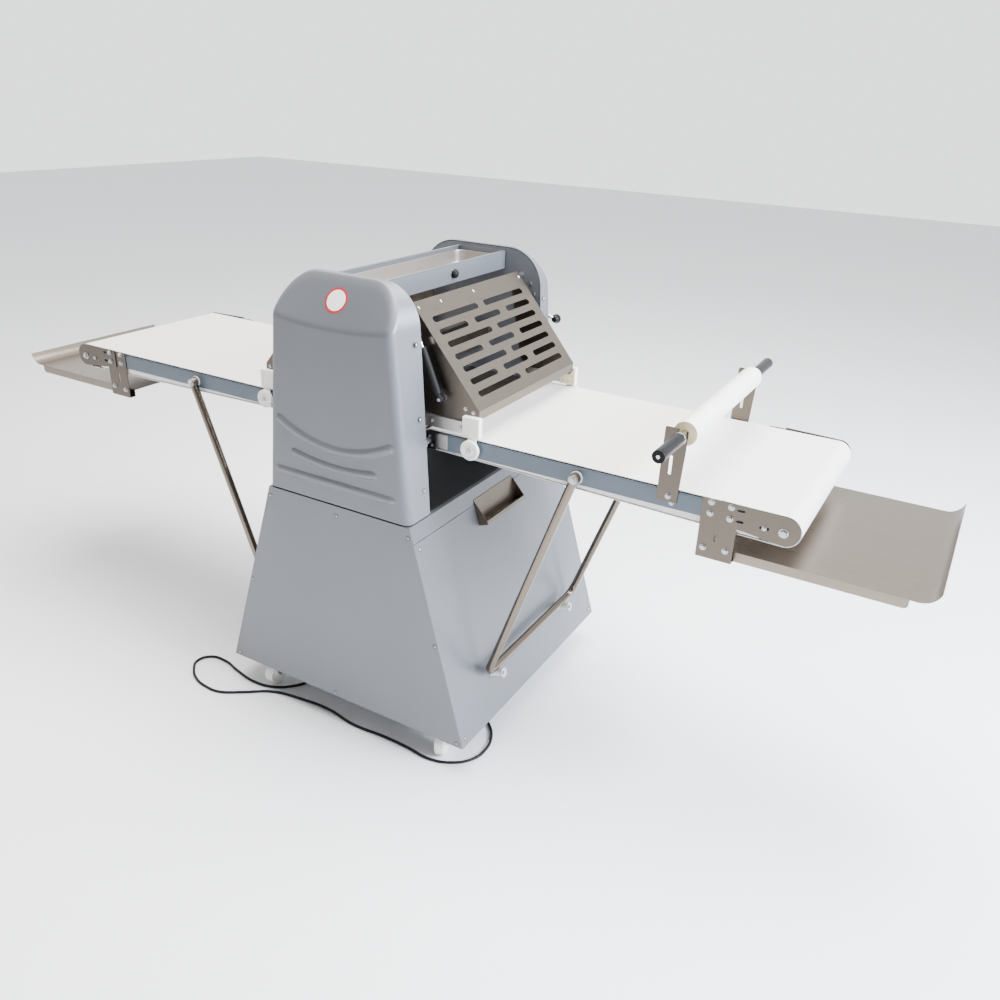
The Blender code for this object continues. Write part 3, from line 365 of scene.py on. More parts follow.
def tube(points, radius, sides=24):
    """A round bar bent through points."""
    points = [Vector(point) for point in points]
    headings = [(after - before).normalized()
                for before, after in zip(points[:1] + points[:-1], points[1:] + points[-1:])]
    bm = bmesh.new()
    bmesh.ops.create_circle(bm, cap_ends=True, segments=sides, radius=radius, matrix=along(points[0], headings[0]))
    rim = bm.edges[:]
    for start, end, heading, following in zip(points, points[1:], headings, headings[1:]):
        grown = bmesh.ops.extrude_edge_only(bm, edges=rim)["geom"]
        verts = {item for item in grown if isinstance(item, bmesh.types.BMVert)}
        rim = [item for item in grown if isinstance(item, bmesh.types.BMEdge) and verts.issuperset(item.verts)]
        turn = heading.rotation_difference(following).to_matrix().to_4x4()
        step = Matrix.Translation(end) @ turn @ Matrix.Translation(-start)
        bmesh.ops.transform(bm, matrix=step, verts=list(verts))
    bmesh.ops.contextual_create(bm, geom=rim)
    bmesh.ops.recalc_face_normals(bm, faces=bm.faces)
    return bm


def moved(bm, matrix):
    bmesh.ops.transform(bm, matrix=matrix, verts=bm.verts)
    return bm


def screw(centre, direction, scale=1.0):
    """A domed screw head with a socket, in a near-black countersunk ring of painted shade."""
    r = bpy.context.scene.sheeter_sizes.screw_radius * scale
    head = [(0, 0.25 * r), (0.36 * r, 0.25 * r), (0.42 * r, 0.55 * r), (0.75 * r, 0.42 * r), (r, 0.1 * r),
            (r, -0.1 * r), (0, -0.1 * r)]
    ring = [(1.4 * r, -0.0003), (1.4 * r, 0.00025), (1.02 * r, 0.00025), (1.02 * r, -0.0003)]
    return [(turned(head, centre, direction, 0, 20), "zinc"), (turned(ring, centre, direction, 0, 20), "shadow")]


def hex_bolt(centre, direction, across=0.010, height=0.0042, washer=0.0075):
    """A six-sided bolt head on its washer."""
    centre, out = Vector(centre), Vector(direction).normalized()
    head = bar(centre + out * 0.001, centre + out * (0.001 + height), across * 0.577, 0.0005, 6)
    disc = bar(centre - out * 0.0003, centre + out * 0.0012, washer, 0.0003, 24)
    return [(head, "zinc"), (disc, "zinc")]


def arc(x, z, radius, start, end, steps):
    """Points of an arc from one angle to another, in degrees."""
    angles = [math.radians(start + (end - start) * step / steps) for step in range(steps + 1)]
    return [(x + radius * math.cos(angle), z + radius * math.sin(angle)) for angle in angles]


def rounded(corners, steps=6):
    """A closed outline whose (x, z, radius) corners become arcs."""
    outline = []
    for index, (x, z, radius) in enumerate(corners):
        corner = Vector((x, z))
        if radius == 0:
            outline.append((x, z))
            continue
        before = (Vector(corners[index - 1][:2]) - corner).normalized()
        after = (Vector(corners[(index + 1) % len(corners)][:2]) - corner).normalized()
        half = before.angle(after) / 2
        centre = corner + (before + after).normalized() * radius / math.sin(half)
        start = corner + before * radius / math.tan(half) - centre
        sweep = math.pi - 2 * half
        if before.x * after.y - before.y * after.x > 0:
            sweep = -sweep
        for step in range(steps + 1):
            angle = sweep * step / steps
            outline.append((centre.x + start.x * math.cos(angle) - start.y * math.sin(angle),
                            centre.y + start.x * math.sin(angle) + start.y * math.cos(angle)))
    return outline


def round_box(x0, x1, z0, z1, radius, steps=6):
    """A rectangle with round corners, for plates and their slots."""
    return rounded([(x0, z0, radius), (x1, z0, radius), (x1, z1, radius), (x0, z1, radius)], steps)


def piece(name, body, parts, replaces=(), half_turn=False):
    """Join (bmesh, finish) parts into one object, and ride it on a body."""
    whole = bmesh.new()
    finishes = []
    for bm, finish in parts:
        if finish not in finishes:
            finishes.append(finish)
        for face in bm.faces:
            face.material_index = finishes.index(finish)
            face.smooth = True
        part = bpy.data.meshes.new("part")
        bm.to_mesh(part)
        bm.free()
        whole.from_mesh(part)
        bpy.data.meshes.remove(part)
    if half_turn:
        bmesh.ops.rotate(whole, cent=(0, 0, 0), matrix=Matrix.Rotation(math.pi, 3, "Z"), verts=whole.verts)
    mesh = bpy.data.meshes.new(name)
    whole.to_mesh(mesh)
    whole.free()
    mesh.set_sharp_from_angle(angle=SHARP_ANGLE)
    for finish in finishes:
        mesh.materials.append(FINISHES[finish])
    obj = bpy.data.objects.new(name, mesh)
    bpy.context.scene.collection.objects.link(obj)
    even = obj.modifiers.new("Even shading", "WEIGHTED_NORMAL")
    even.keep_sharp = True
    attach(obj, body)
    if replaces:
        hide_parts(*replaces)
    return obj


def detail(node, parts, half_turn=False):
    """The finished piece that stands for one CAD node."""
    return piece(f"{node}_detail", BODY_OF[node], parts, [node], half_turn)


# Cabinet

def cabinet_half(z, axis):
    """Half the cabinet's width along an axis, at a height."""
    share = (z - CABINET_FOOT[2]) / (CABINET_TOP[2] - CABINET_FOOT[2])
    return CABINET_FOOT[axis] + share * (CABINET_TOP[axis] - CABINET_FOOT[axis])


SLOPE = math.atan2(CABINET_FOOT[0] - CABINET_TOP[0], CABINET_TOP[2] - CABINET_FOOT[2])
SLOPE_OUT = Vector((math.cos(SLOPE), 0, math.sin(SLOPE)))
FRONT_OUT = Vector((0, -1, 0.0236)).normalized()


def slope_point(z, y, out):
    """A point at a height on the right slope, moved out from its face."""
    return Vector((cabinet_half(z, 0), y, z)) + SLOPE_OUT * out


def flat_panel(corners, inward, thickness, edge):
    """A four-cornered sheet with rounded edges; inward points from its face to its back."""
    bm = bmesh.new()
    bmesh.ops.contextual_create(bm, geom=[bm.verts.new(corner) for corner in corners])
    grown = bmesh.ops.extrude_face_region(bm, geom=bm.faces[:])["geom"]
    back = [item for item in grown if isinstance(item, bmesh.types.BMVert)]
    bmesh.ops.translate(bm, vec=Vector(inward) * thickness, verts=back)
    bmesh.ops.recalc_face_normals(bm, faces=bm.faces)
    round_edges(bm, bm.edges[:], edge, 3)
    return bm


def end_panel():
    """The front panel of the cabinet with its eight screws; the rear one is its half turn."""
    low, high = CABINET_FOOT[2], CABINET_TOP[2]
    turns = ((-1, low), (1, low), (1, high), (-1, high))
    corners = [(s * cabinet_half(z, 0), -cabinet_half(z, 1), z) for s, z in turns]
    edge = bpy.context.scene.sheeter_sizes.corner_round * 0.5
    parts = [(flat_panel(corners, -FRONT_OUT, PANEL_SHEET, edge), "silver")]
    places = [(s * 0.225, 0.659) for s in (-1, 0, 1)] + [(s * 0.311, 0.377) for s in (-1, 1)]
    places += [(-0.385, 0.104), (-0.02, 0.104), (0.385, 0.104)]
    for x, z in places:
        parts += screw((x, -cabinet_half(z, 1), z), FRONT_OUT)
    return parts


def slope_panel():
    """The right sloped panel with its screws and the two pegs that the strut rests on."""
    low, high = CABINET_FOOT[2], BAND_Z - 0.0015
    corners = []
    for z, turn in ((low, (-1, 1)), (high, (1, -1))):
        corners += [slope_point(z, s * (cabinet_half(z, 1) - 0.0023), 0) for s in turn]
    parts = [(flat_panel(corners, -SLOPE_OUT, PANEL_SHEET, 0.0005), "silver")]
    clear = (STRUT_FOOT.x - cabinet_half(STRUT_FOOT.z, 0)) * math.cos(SLOPE)
    base_z = STRUT_FOOT.z - clear * math.sin(SLOPE) - (STRUT_R + PEG_R + PEG_GAP) * math.cos(SLOPE)
    for side in (-1, 1):
        foot = slope_point(base_z, side * PEG_Y, 0)
        parts += [(stub(foot, SLOPE_OUT, 0, 0.0385, PEG_R, 0.001), "nylon"),
                  (stub(foot, SLOPE_OUT, 0.038, 0.0412, 0.014), "zinc"),
                  (stub(foot, SLOPE_OUT, 0.041, 0.0445, 0.0062, 0.0008, 6), "zinc"),
                  (stub(foot, SLOPE_OUT, -0.0005, 0.0016, 0.0125, 0.0004), "zinc")]
        for z in (0.112, 0.625):
            parts += screw(slope_point(z, side * (cabinet_half(z, 1) - 0.022), 0), SLOPE_OUT)
    return parts


def pull_handle():
    """A bent tray pull: a back plate, a shelf, an upturned lip and two gussets."""
    half, skin = 0.105, 0.0015

    def at(z, out):
        point = slope_point(z, 0, out)
        return point.x, point.z

    bent = [at(0.656, GAP), at(0.584, GAP), at(0.586, 0.030), at(0.596, 0.030), at(0.5962, 0.030 - skin),
            at(0.5878, 0.030 - skin), at(0.5860, 0.0018), at(0.656, 0.0018)]
    gusset = [at(0.655, GAP), at(0.5845, GAP), at(0.5865, 0.0296), at(0.5958, 0.0296)]
    parts = [(plate(bent, -half, half, edge=0.0004), "steel_y")]
    parts += [(plate(gusset, s * half, s * (half - 0.0018), edge=0.0004), "steel_y") for s in (-1, 1)]
    return parts


class SHEETER_OT_cabinet(Operator):
    """Cabinet panels, pull handle, chassis and motor"""
    bl_idname = "sheeter.cabinet"
    bl_label = "Cabinet"

    def execute(self, context):
        detail("front_panel", end_panel())
        detail("rear_panel", end_panel(), True)
        detail("right_panel", slope_panel())
        detail("left_panel", slope_panel(), True)
        detail("pull_handle", pull_handle())
        for node, finish, slot in (("base_chassis", "silver", "silver_paint"), ("drive_motor", "cast", "dark_paint")):
            obj = frame["nodes"][node]
            obj.data.materials.clear()
            obj.data.materials.append(FINISHES[finish])
            obj.data.materials.append(FINISHES["shadow"])
            for face in obj.data.polygons:          # the deck inside the head gets near-black painted shade
                if node == "base_chassis" and face.normal.z > 0.9 and SHADED_DECK_Z[0] < face.center.z < SHADED_DECK_Z[1]:
                    face.material_index = 1
        return {"FINISHED"}


# Castors

def castor_fork():
    """A castor fork at the origin, with its axle trailing along +X."""
    crown, axle, wide = 0.080, CASTOR.z, 0.016
    stem = [(0, 0.0916), (0.016, 0.0916), (0.016, 0.0885), (0.0175, 0.0865), (0.0175, 0.0825), (0.015, 0.0795),
            (0, 0.0795)]
    parts = [(block((-0.018, -0.0185, crown - 0.003), (0.030, 0.0185, crown), 0.0010), "zinc"),
             (turned(stem, (0, 0, 0), (0, 0, 1), 0.0004), "zinc"),
             (bar((0, 0, 0.0735), (0, 0, 0.0775), 0.007, 0.0008, 6), "zinc"),
             (bar((CASTOR_TRAIL, -0.0205, axle), (CASTOR_TRAIL, 0.0205, axle), 0.0048, 0.0008, 6), "zinc")]
    side = rounded([(-0.018, crown, 0.001), (0.030, crown, 0.001), (CASTOR_TRAIL + 0.010, axle + 0.004, 0.006),
                    (CASTOR_TRAIL + 0.004, axle - 0.009, 0.006), (CASTOR_TRAIL - 0.008, axle - 0.006, 0.004)])
    for s in (-1, 1):
        washer = bar((CASTOR_TRAIL, s * 0.0184, axle), (CASTOR_TRAIL, s * 0.0194, axle), 0.0078, 0.0003)
        parts += [(plate(side, s * wide, s * (wide + 0.0025), edge=0.0005), "zinc"), (washer, "zinc")]
    return parts


def castor_wheel():
    """A moulded wheel with a sunken web and a raised hub, its axle along Y through the origin."""
    radius, half = CASTOR.z, 0.014
    edge = [(0.0052, half - 0.0003), (0.0105, half - 0.0003), (0.0125, half - 0.0045), (0.0265, half - 0.0045),
            (0.0290, half - 0.001), (radius - 0.004, half), (radius - 0.0008, half - 0.003), (radius, half - 0.006)]
    return [(turned(mirrored(edge), (0, 0, 0), Y_AXIS, 0.0004), "nylon")]


class SHEETER_OT_castors(Operator):
    """Four swivel castors"""
    bl_idname = "sheeter.castors"
    bl_label = "Castors"

    def execute(self, context):
        for name, lean in CASTOR_LEANS.items():
            side_y, side_x = (-1 if part in ("front", "left") else 1 for part in name.split("_"))
            turn = Matrix.Rotation(math.radians(lean), 4, "Z")
            place = Matrix.Translation((side_x * CASTOR.x, side_y * CASTOR.y, 0)) @ turn
            detail(f"castor_fork_{name}", [(moved(bm, place), finish) for bm, finish in castor_fork()])
            wheel = place @ Matrix.Translation((CASTOR_TRAIL, 0, CASTOR.z))
            detail(f"castor_wheel_{name}", [(moved(bm, wheel), f) for bm, f in castor_wheel()])
        return {"FINISHED"}


# Side frames and covers

LEAN = (COVER_FOOT[0] - COVER_SHOULDER[0]) / (COVER_SHOULDER[1] - COVER_FOOT[1])


def head_outline(inset, steps=20):
    """The outline shared by the side frames and covers, moved inwards."""
    foot, foot_z = COVER_FOOT
    top = COVER_TOP - inset
    corner = foot - inset - LEAN * (top - foot_z)
    radius = COVER_CORNER - inset
    return rounded([(-foot + inset, foot_z, 0), (-corner, top, radius),
                    (corner, top, radius), (foot - inset, foot_z, 0)], steps)


def side_frame(side):
    """A side plate with the bosses for the two tables and the two guards, and their bolts."""
    outline = [(x, max(z, 0.6859)) for x, z in head_outline(0.0032)]
    parts = [(plate(outline, side * FRAME_FACE, side * 0.305, edge=0.0008), "silver")]
    hinges = ((HINGE, 0.0085, 0.275), (GUARD_HINGE, 0.005, 0.2573))
    for end in (-1, 1):
        for hinge, radius, reach in hinges:
            root = (end * hinge.x, side * 0.301, hinge.z)
            boss, nut = (end * hinge.x, side * reach, hinge.z), (end * hinge.x, side * 0.2975, hinge.z)
            parts += [(bar(root, boss, radius, 0.0005), "zinc"), (bar(root, nut, radius * 1.7, 0.0008, 6), "zinc")]
        parts += hex_bolt((end * SPRING_HEAD.x, side * FRAME_FACE, SPRING_HEAD.z), (0, -side, 0))
        for x, z in ((0.165, 1.165), (0.120, 0.760), (0.060, 0.965)):
            parts += hex_bolt((end * x, side * FRAME_FACE, z), (0, -side, 0), 0.008, 0.003, 0.006)
    return parts


def cover_half(z):
    """Half the width of a cover's outline at a height, and the centre of its round corner."""
    centre_z = COVER_TOP - COVER_CORNER
    angle = math.atan(LEAN)
    centre_x = COVER_FOOT[0] - (COVER_CORNER + (centre_z - COVER_FOOT[1]) * math.sin(angle)) / math.cos(angle)
    if z < centre_z + COVER_CORNER * math.sin(angle):
        return COVER_FOOT[0] - LEAN * (z - COVER_FOOT[1]), centre_x, centre_z
    rise = min(COVER_CORNER, z - centre_z)
    return centre_x + math.sqrt(COVER_CORNER ** 2 - rise ** 2), centre_x, centre_z


def cover_inset(x, z):
    """Distance from a point of the face to the cover's outline."""
    centre_x, centre_z = cover_half(z)[1:]
    angle = math.atan(LEAN)
    offset = Vector((abs(x) - centre_x, z - centre_z))
    if offset.x > 0 and offset.dot(Vector((-math.sin(angle), math.cos(angle)))) > 0:
        return COVER_CORNER - offset.length
    side = (COVER_FOOT[0] - abs(x)) * math.cos(angle) - (z - COVER_FOOT[1]) * math.sin(angle)
    return min(side, COVER_TOP - z)


RIBS = (                          # low point (x, z), curve, and the two ends in x of each pressed rib
    (0.008, 0.8405, 1.42, -0.178, 0.180),
    (0.010, 0.7910, 0.75, -0.131, 0.122),
    (0.000, 0.7460, 0.05, -0.184, 0.176),
)


def rib_height(x, z):
    """How far the pressed ribs stand out of a cover's face at a point."""
    sizes = bpy.context.scene.sheeter_sizes
    for low_x, low_z, curve, start, end in RIBS:
        at = min(max(x, start), end)
        line = low_z + curve * (at - low_x) ** 2
        lean = math.atan(2 * curve * (at - low_x))
        off = math.hypot(x - at, z - line) if at != x else abs(z - line) * math.cos(lean)
        if off < sizes.rib_half:
            return sizes.rib_rise * (1 - (off / sizes.rib_half) ** 2.6) ** 0.8
    return 0.0


def cover_depth(x, z):
    """How far a cover's face stands out of the side frame: a rolled rim, ribs, and a top that leans in."""
    full = COVER_FACE - FRAME_FACE
    rim = max(0.0, COVER_RIM - cover_inset(x, z))
    depth = full - COVER_RIM + math.sqrt(max(0.0, COVER_RIM ** 2 - rim ** 2))
    crease, soft = CREASE_Z + CREASE_BOW * (x / 0.19) ** 2, CREASE_SOFT
    over = z - crease
    over = 0 if over < -soft else over if over > soft else (over + soft) ** 2 / (4 * soft)
    share = min(1.0, over / (COVER_TOP - crease))
    return depth * (1 - share * (1 - COVER_RIDGE / full)) + rib_height(x, z)


def stretch_rows(start, end, pitch):
    """Heights from start towards end, about one pitch apart."""
    count = max(1, round((end - start) / pitch))
    return [start + (end - start) * step / count for step in range(count)]


def draft(z):
    """How much narrower a cover's face is than its open edge; its walls draw in towards the top."""
    return 1 - COVER_DRAFT * min(1, (z - COVER_FOOT[1]) / (COVER_SHOULDER[1] - COVER_FOOT[1])) / COVER_SHOULDER[0]


def side_cover(side):
    """A pressed cover: a grid shaped to the outline, its walls drawn back to the side frame."""
    rim = [COVER_RIM * (1 - math.cos(math.radians(angle))) for angle in range(0, 90, 15)]
    bands = ((COVER_FOOT[1], 0.730, 0.006), (0.730, 0.906, 0.0020), (0.906, 1.125, 0.008), (1.125, 1.175, 0.003),
             (1.175, COVER_TOP - COVER_RIM, 0.005))              # finest over the ribs and over the crease
    rows = [z for band in bands for z in stretch_rows(*band)]
    rows += [COVER_TOP - step for step in reversed(rim + [COVER_RIM])]
    inner = 92                                                   # columns between the two rims
    columns = len(rim) * 2 + inner + 1
    bm = bmesh.new()
    bmesh.ops.create_grid(bm, x_segments=columns - 1, y_segments=len(rows) - 1, size=0.5)
    for vert in bm.verts:
        column = round((vert.co.x + 0.5) * (columns - 1))
        z = rows[round((vert.co.y + 0.5) * (len(rows) - 1))]
        half = cover_half(z)[0]
        edge = min(column, columns - 1 - column)
        if edge < len(rim):
            x = math.copysign(half - rim[edge], column - columns / 2)
        else:
            x = (half - COVER_RIM) * (2 * (column - len(rim)) / inner - 1)
        vert.co = (x * draft(z), side * (FRAME_FACE + cover_depth(x, z)), z)
    foot = COVER_FOOT[1] + 0.0001
    walls = [edge for edge in bm.edges if edge.is_boundary and any(vert.co.z >= foot for vert in edge.verts)]
    grown = bmesh.ops.extrude_edge_only(bm, edges=walls)["geom"]
    for item in grown:
        if isinstance(item, bmesh.types.BMVert):
            item.co.x /= draft(item.co.z)
            item.co.y = side * FRAME_FACE
    bmesh.ops.recalc_face_normals(bm, faces=bm.faces)
    bm.faces.ensure_lookup_table()
    outward = sum(face.normal.y * face.calc_area() for face in bm.faces) * side
    if outward < 0:
        bmesh.ops.reverse_faces(bm, faces=bm.faces)
    bmesh.ops.solidify(bm, geom=bm.faces[:], thickness=COVER_SHEET)
    parts = [(bm, "silver")]
    for end in (-1, 1):
        for z in (0.760, 0.944, 1.125):
            parts += screw((end * cover_half(z)[0], side * 0.320, z), (end, 0, LEAN))
    return parts


class SHEETER_OT_side_frames(Operator):
    """The two side plates between the covers"""
    bl_idname = "sheeter.side_frames"
    bl_label = "Side frames"

    def execute(self, context):
        for name, side in ENDS:
            detail(f"side_frame_{name}", side_frame(side))
        return {"FINISHED"}


class SHEETER_OT_side_covers(Operator):
    """The two pressed covers with their ribs and screws, and the round decal"""
    bl_idname = "sheeter.side_covers"
    bl_label = "Side covers"

    def execute(self, context):
        for name, side in ENDS:
            detail(f"side_cover_{name}", side_cover(side))
        x, z, step = -0.003, 1.206, 0.002
        rise = (cover_depth(x, z + step) - cover_depth(x, z - step)) / (2 * step)
        centre, out = Vector((x, -FRAME_FACE - cover_depth(x, z), z)), Vector((0, -1, -rise)).normalized()
        piece("round_decal", ROOT, [
            (stub(centre, out, -0.0004, 0.0004, 0.0320, 0.0001, 48), "print_red"),
            (stub(centre, out, 0.0003, 0.0006, 0.0262, 0.0001, 48), "print_white")])
        return {"FINISHED"}


# Top frame and flour pan

def top_frame():
    """Two folded crossbars joined at their ends, with a rubber bumper on each."""
    x, y, wall = CROSSBAR_X, FRAME_FACE - GAP, 0.0025
    low, high = CROSSBAR_Z
    dome = [(0, 0.0138), (0.005, 0.0132), (0.009, 0.011), (0.0115, 0.007), (0.012, 0.003), (0.012, 0), (0, 0)]
    parts = []
    for end in (-1, 1):
        parts.append((block((end * x, -y, low), (end * (x - wall), y, high), 0.0006), "silver"))
        parts.append((block((end * x, -y, high - 0.0015), (end * (x - 0.009), y, high), 0.0005), "silver"))
        parts.append((block((end * x, -y, low), (end * (x - 0.012), y, low + 0.0015), 0.0005), "silver"))
        parts.append((block((-x, end * y, low), (x, end * (y - wall), high), 0.0006), "silver"))
        centre, out = Vector((end * (x + 0.0002), 0.024 * end, (low + high) / 2)), Vector((end, 0, 0))
        parts.append((turned(dome, centre, out, 0.0003, 40), "rubber"))
        parts.append((stub(centre, out, -0.0004, 0.0012, 0.0132, 0.0004), "zinc"))
    return parts


def flour_pan():
    """A drawn stainless pan with round corners and a rolled rim."""
    x, y, low, high = CROSSBAR_X - 0.0045, FRAME_FACE - 0.006, 1.195, 1.236
    bm = bmesh.new()
    verts = [bm.verts.new((*point, low)) for point in round_box(-x, x, -y, y, 0.03, 10)]
    floor = bmesh.ops.contextual_create(bm, geom=verts)["faces"]
    rim = floor[0].edges[:]
    grown = bmesh.ops.extrude_edge_only(bm, edges=rim)["geom"]
    bmesh.ops.translate(bm, vec=(0, 0, high - low), verts=[v for v in grown if isinstance(v, bmesh.types.BMVert)])
    foot = [e for e in bm.edges if not e.is_boundary and all(v.co.z < low + 0.001 for v in e.verts)]
    round_edges(bm, foot, 0.009, 5)
    bmesh.ops.recalc_face_normals(bm, faces=bm.faces)
    base = max(bm.faces, key=lambda face: face.calc_area())
    if base.normal.z > 0:
        bmesh.ops.reverse_faces(bm, faces=bm.faces)
    bmesh.ops.solidify(bm, geom=bm.faces[:], thickness=0.0012)
    x, y = x - 0.0011, y - 0.0011
    bead = [(*point, high - 0.0010) for point in round_box(-x, x, -y, y, 0.029, 10)]
    return [(bm, "pan"), (tube(bead + bead[:1], 0.0010, 8), "pan")]


class SHEETER_OT_top_frame(Operator):
    """The ring above the rollers and the flour pan in it"""
    bl_idname = "sheeter.top_frame"
    bl_label = "Top frame and flour pan"

    def execute(self, context):
        detail("top_frame", top_frame())
        detail("flour_pan", flour_pan())
        return {"FINISHED"}


# Rollers between the side frames

def roller(centre, radius, half, axle_radius, axle_half):
    """A turned roller with a groove in each face, on its axle along Y."""
    groove = half - 0.0015
    profile = [(0, axle_half), (axle_radius, axle_half), (axle_radius, half), (radius * 0.55, half),
               (radius * 0.60, groove), (radius * 0.85, groove), (radius * 0.88, half), (radius, half)]
    return turned(mirrored(profile), centre, Y_AXIS, 0.0006)


def upper_carriage():
    """Two bearing blocks, a tie bar and a scraper blade that ride with the upper roller."""
    y, low = FRAME_FACE - GAP, 0.998
    parts = [(block((-0.030, -y, low), (0.030, y, low + 0.030), 0.0015), "steel_y")]
    for s in (-1, 1):
        parts.append((block((-0.030, s * y, UPPER_Z - 0.022), (0.030, s * 0.270, low + 0.001), 0.0015), "zinc"))
        for x in (-0.020, 0.020):
            parts += hex_bolt((x, s * 0.270, UPPER_Z + 0.030), (0, -s, 0), 0.008, 0.003, 0.006)
    blade = [(0.026, low + 0.001), (0.029, low + 0.001), (0.0415, low - 0.026), (0.0395, low - 0.026)]
    parts.append((plate(blade, -0.255, 0.255, edge=0.0004), "steel_y"))
    return parts


def infeed_bed():
    """The fixed bed on both sides of the lower roller, with its skirts, tie and scraper."""
    inner, outer, top, half = ROLLER_R + 0.004, 0.177, 0.9005, 0.262
    parts = [(block((-0.0475, -0.2997, 0.805), (0.0475, 0.2997, 0.811), 0.0008), "steel_y")]
    for end in (-1, 1):
        parts.append((block((end * inner, -half, top - 0.003), (end * outer, half, top), 0.0010), "steel_y"))
        parts.append((block((end * 0.0445, -half, top - 0.001), (end * 0.0475, half, 0.805), 0.0006), "steel_y"))
    blade = [(-0.010, 0.810), (-0.006, 0.810), (-0.0025, 0.8285), (-0.004, 0.8285)]
    parts.append((plate(blade, -half, half, edge=0.0003), "steel_y"))
    return parts


class SHEETER_OT_roller_unit(Operator):
    """The two sheeting rollers, their carriage and the bed between the belts"""
    bl_idname = "sheeter.roller_unit"
    bl_label = "Roller unit"

    def execute(self, context):
        detail("upper_carriage", upper_carriage())
        for name, z, reach in (("upper", UPPER_Z, ROLLER_HALF + 0.0077), ("lower", LOWER_Z, FRAME_FACE - GAP)):
            body = roller((0, 0, z), ROLLER_R, ROLLER_HALF, 0.012, reach)
            detail(f"{name}_roller", [(body, "chrome")])
        detail("infeed_bed", infeed_bed())
        return {"FINISHED"}


# Controls on the rear cover

def thickness_lever():
    """A hub, a tapered arm and a ball-ended knob."""
    tip = Vector((0.196, LEVER.y, 1.046))
    hub = [(0, 0.024), (0.010, 0.024), (0.012, 0.0225), (0.0205, 0.020), (0.022, 0.017), (0.022, 0.0005),
           (0, 0.0005)]
    knob = [(0, 0.040), (0.006, 0.0393), (0.011, 0.0365), (0.014, 0.031), (0.0138, 0.024), (0.010, 0.0165),
            (0.008, 0.012), (0, 0.012)]
    return [(turned(hub, LEVER, Y_AXIS, 0.0006), "black"),
            (bar(LEVER + Y_AXIS * 0.0130, tip + Y_AXIS * 0.0180, 0.0068, 0.0005, 32, 0.0052), "chrome"),
            (turned(knob, tip, Y_AXIS, 0), "black"),
            (stub(LEVER, Y_AXIS, 0.0235, 0.0245, 0.006, 0.0003), "zinc")]


class SHEETER_OT_controls(Operator):
    """Thickness lever with its dial marks, and the stop button in its collar"""
    bl_idname = "sheeter.controls"
    bl_label = "Controls"

    def execute(self, context):
        detail("thickness_lever", thickness_lever())
        cap = [(0, 0.016), (0.006, 0.0158), (0.012, 0.0147), (0.017, 0.0125), (0.0195, 0.0095), (0.020, 0.0065),
               (0.0190, 0.004), (0.011, 0.003), (0.011, 0), (0, 0)]
        detail("stop_button", [(turned(cap, STOP, Y_AXIS, 0.0003), "red")])
        face = COVER_FACE - 0.0004
        collar = [(0.0250, 0), (0.0250, 0.0022), (0.0235, 0.0030), (0.0125, 0.0030), (0.0125, 0)]
        parts = [(turned(collar, (STOP.x, face, STOP.z), Y_AXIS, 0.0003), "black")]
        for step in range(11):
            turn = math.radians(-21.7 + 10 * step)
            reaches = (0.027, 0.034 if step % 5 else 0.038)
            mark = [(LEVER.x + r * math.cos(turn), face, LEVER.z + r * math.sin(turn)) for r in reaches]
            parts.append((bar(*mark, 0.0009, 0.0002, 10), "shadow"))
        piece("control_marks", ROOT, parts)
        return {"FINISHED"}


# Guards

def slot_loop(middle_y, middle_s, length, height=0.016):
    """The outline of a round-ended slot in the flat sheet."""
    radius = height / 2
    reach = length / 2 - radius
    return arc(middle_y + reach, middle_s, radius, -90, 90, 10) + arc(middle_y - reach, middle_s, radius, 90, 270, 10)


def guard_sheet():
    """The slotted sheet, drawn flat with its down-slope axis as Z, then leaned into place."""
    down = GUARD_FOOT - GUARD_TOP
    length = down.length
    down.normalize()
    pairs, threes = [(-0.118, 0.205), (0.118, 0.205)], [(-0.160, 0.125), (0.0, 0.125), (0.160, 0.125)]
    slots = []
    for row in range(7):
        middle = 0.0545 + 0.0349 * row
        slots += [slot_loop(y, middle, size) for y, size in (threes if row % 2 else pairs)]
    half = GUARD_HALF - 0.0004
    sheet = plate([(-half, 0), (half, 0), (half, length), (-half, length)], 0, 0.002, slots, 0.0004)
    lean = Matrix((Y_AXIS, Y_AXIS.cross(down), down)).transposed().to_4x4()
    return moved(sheet, Matrix.Translation(GUARD_TOP) @ lean)


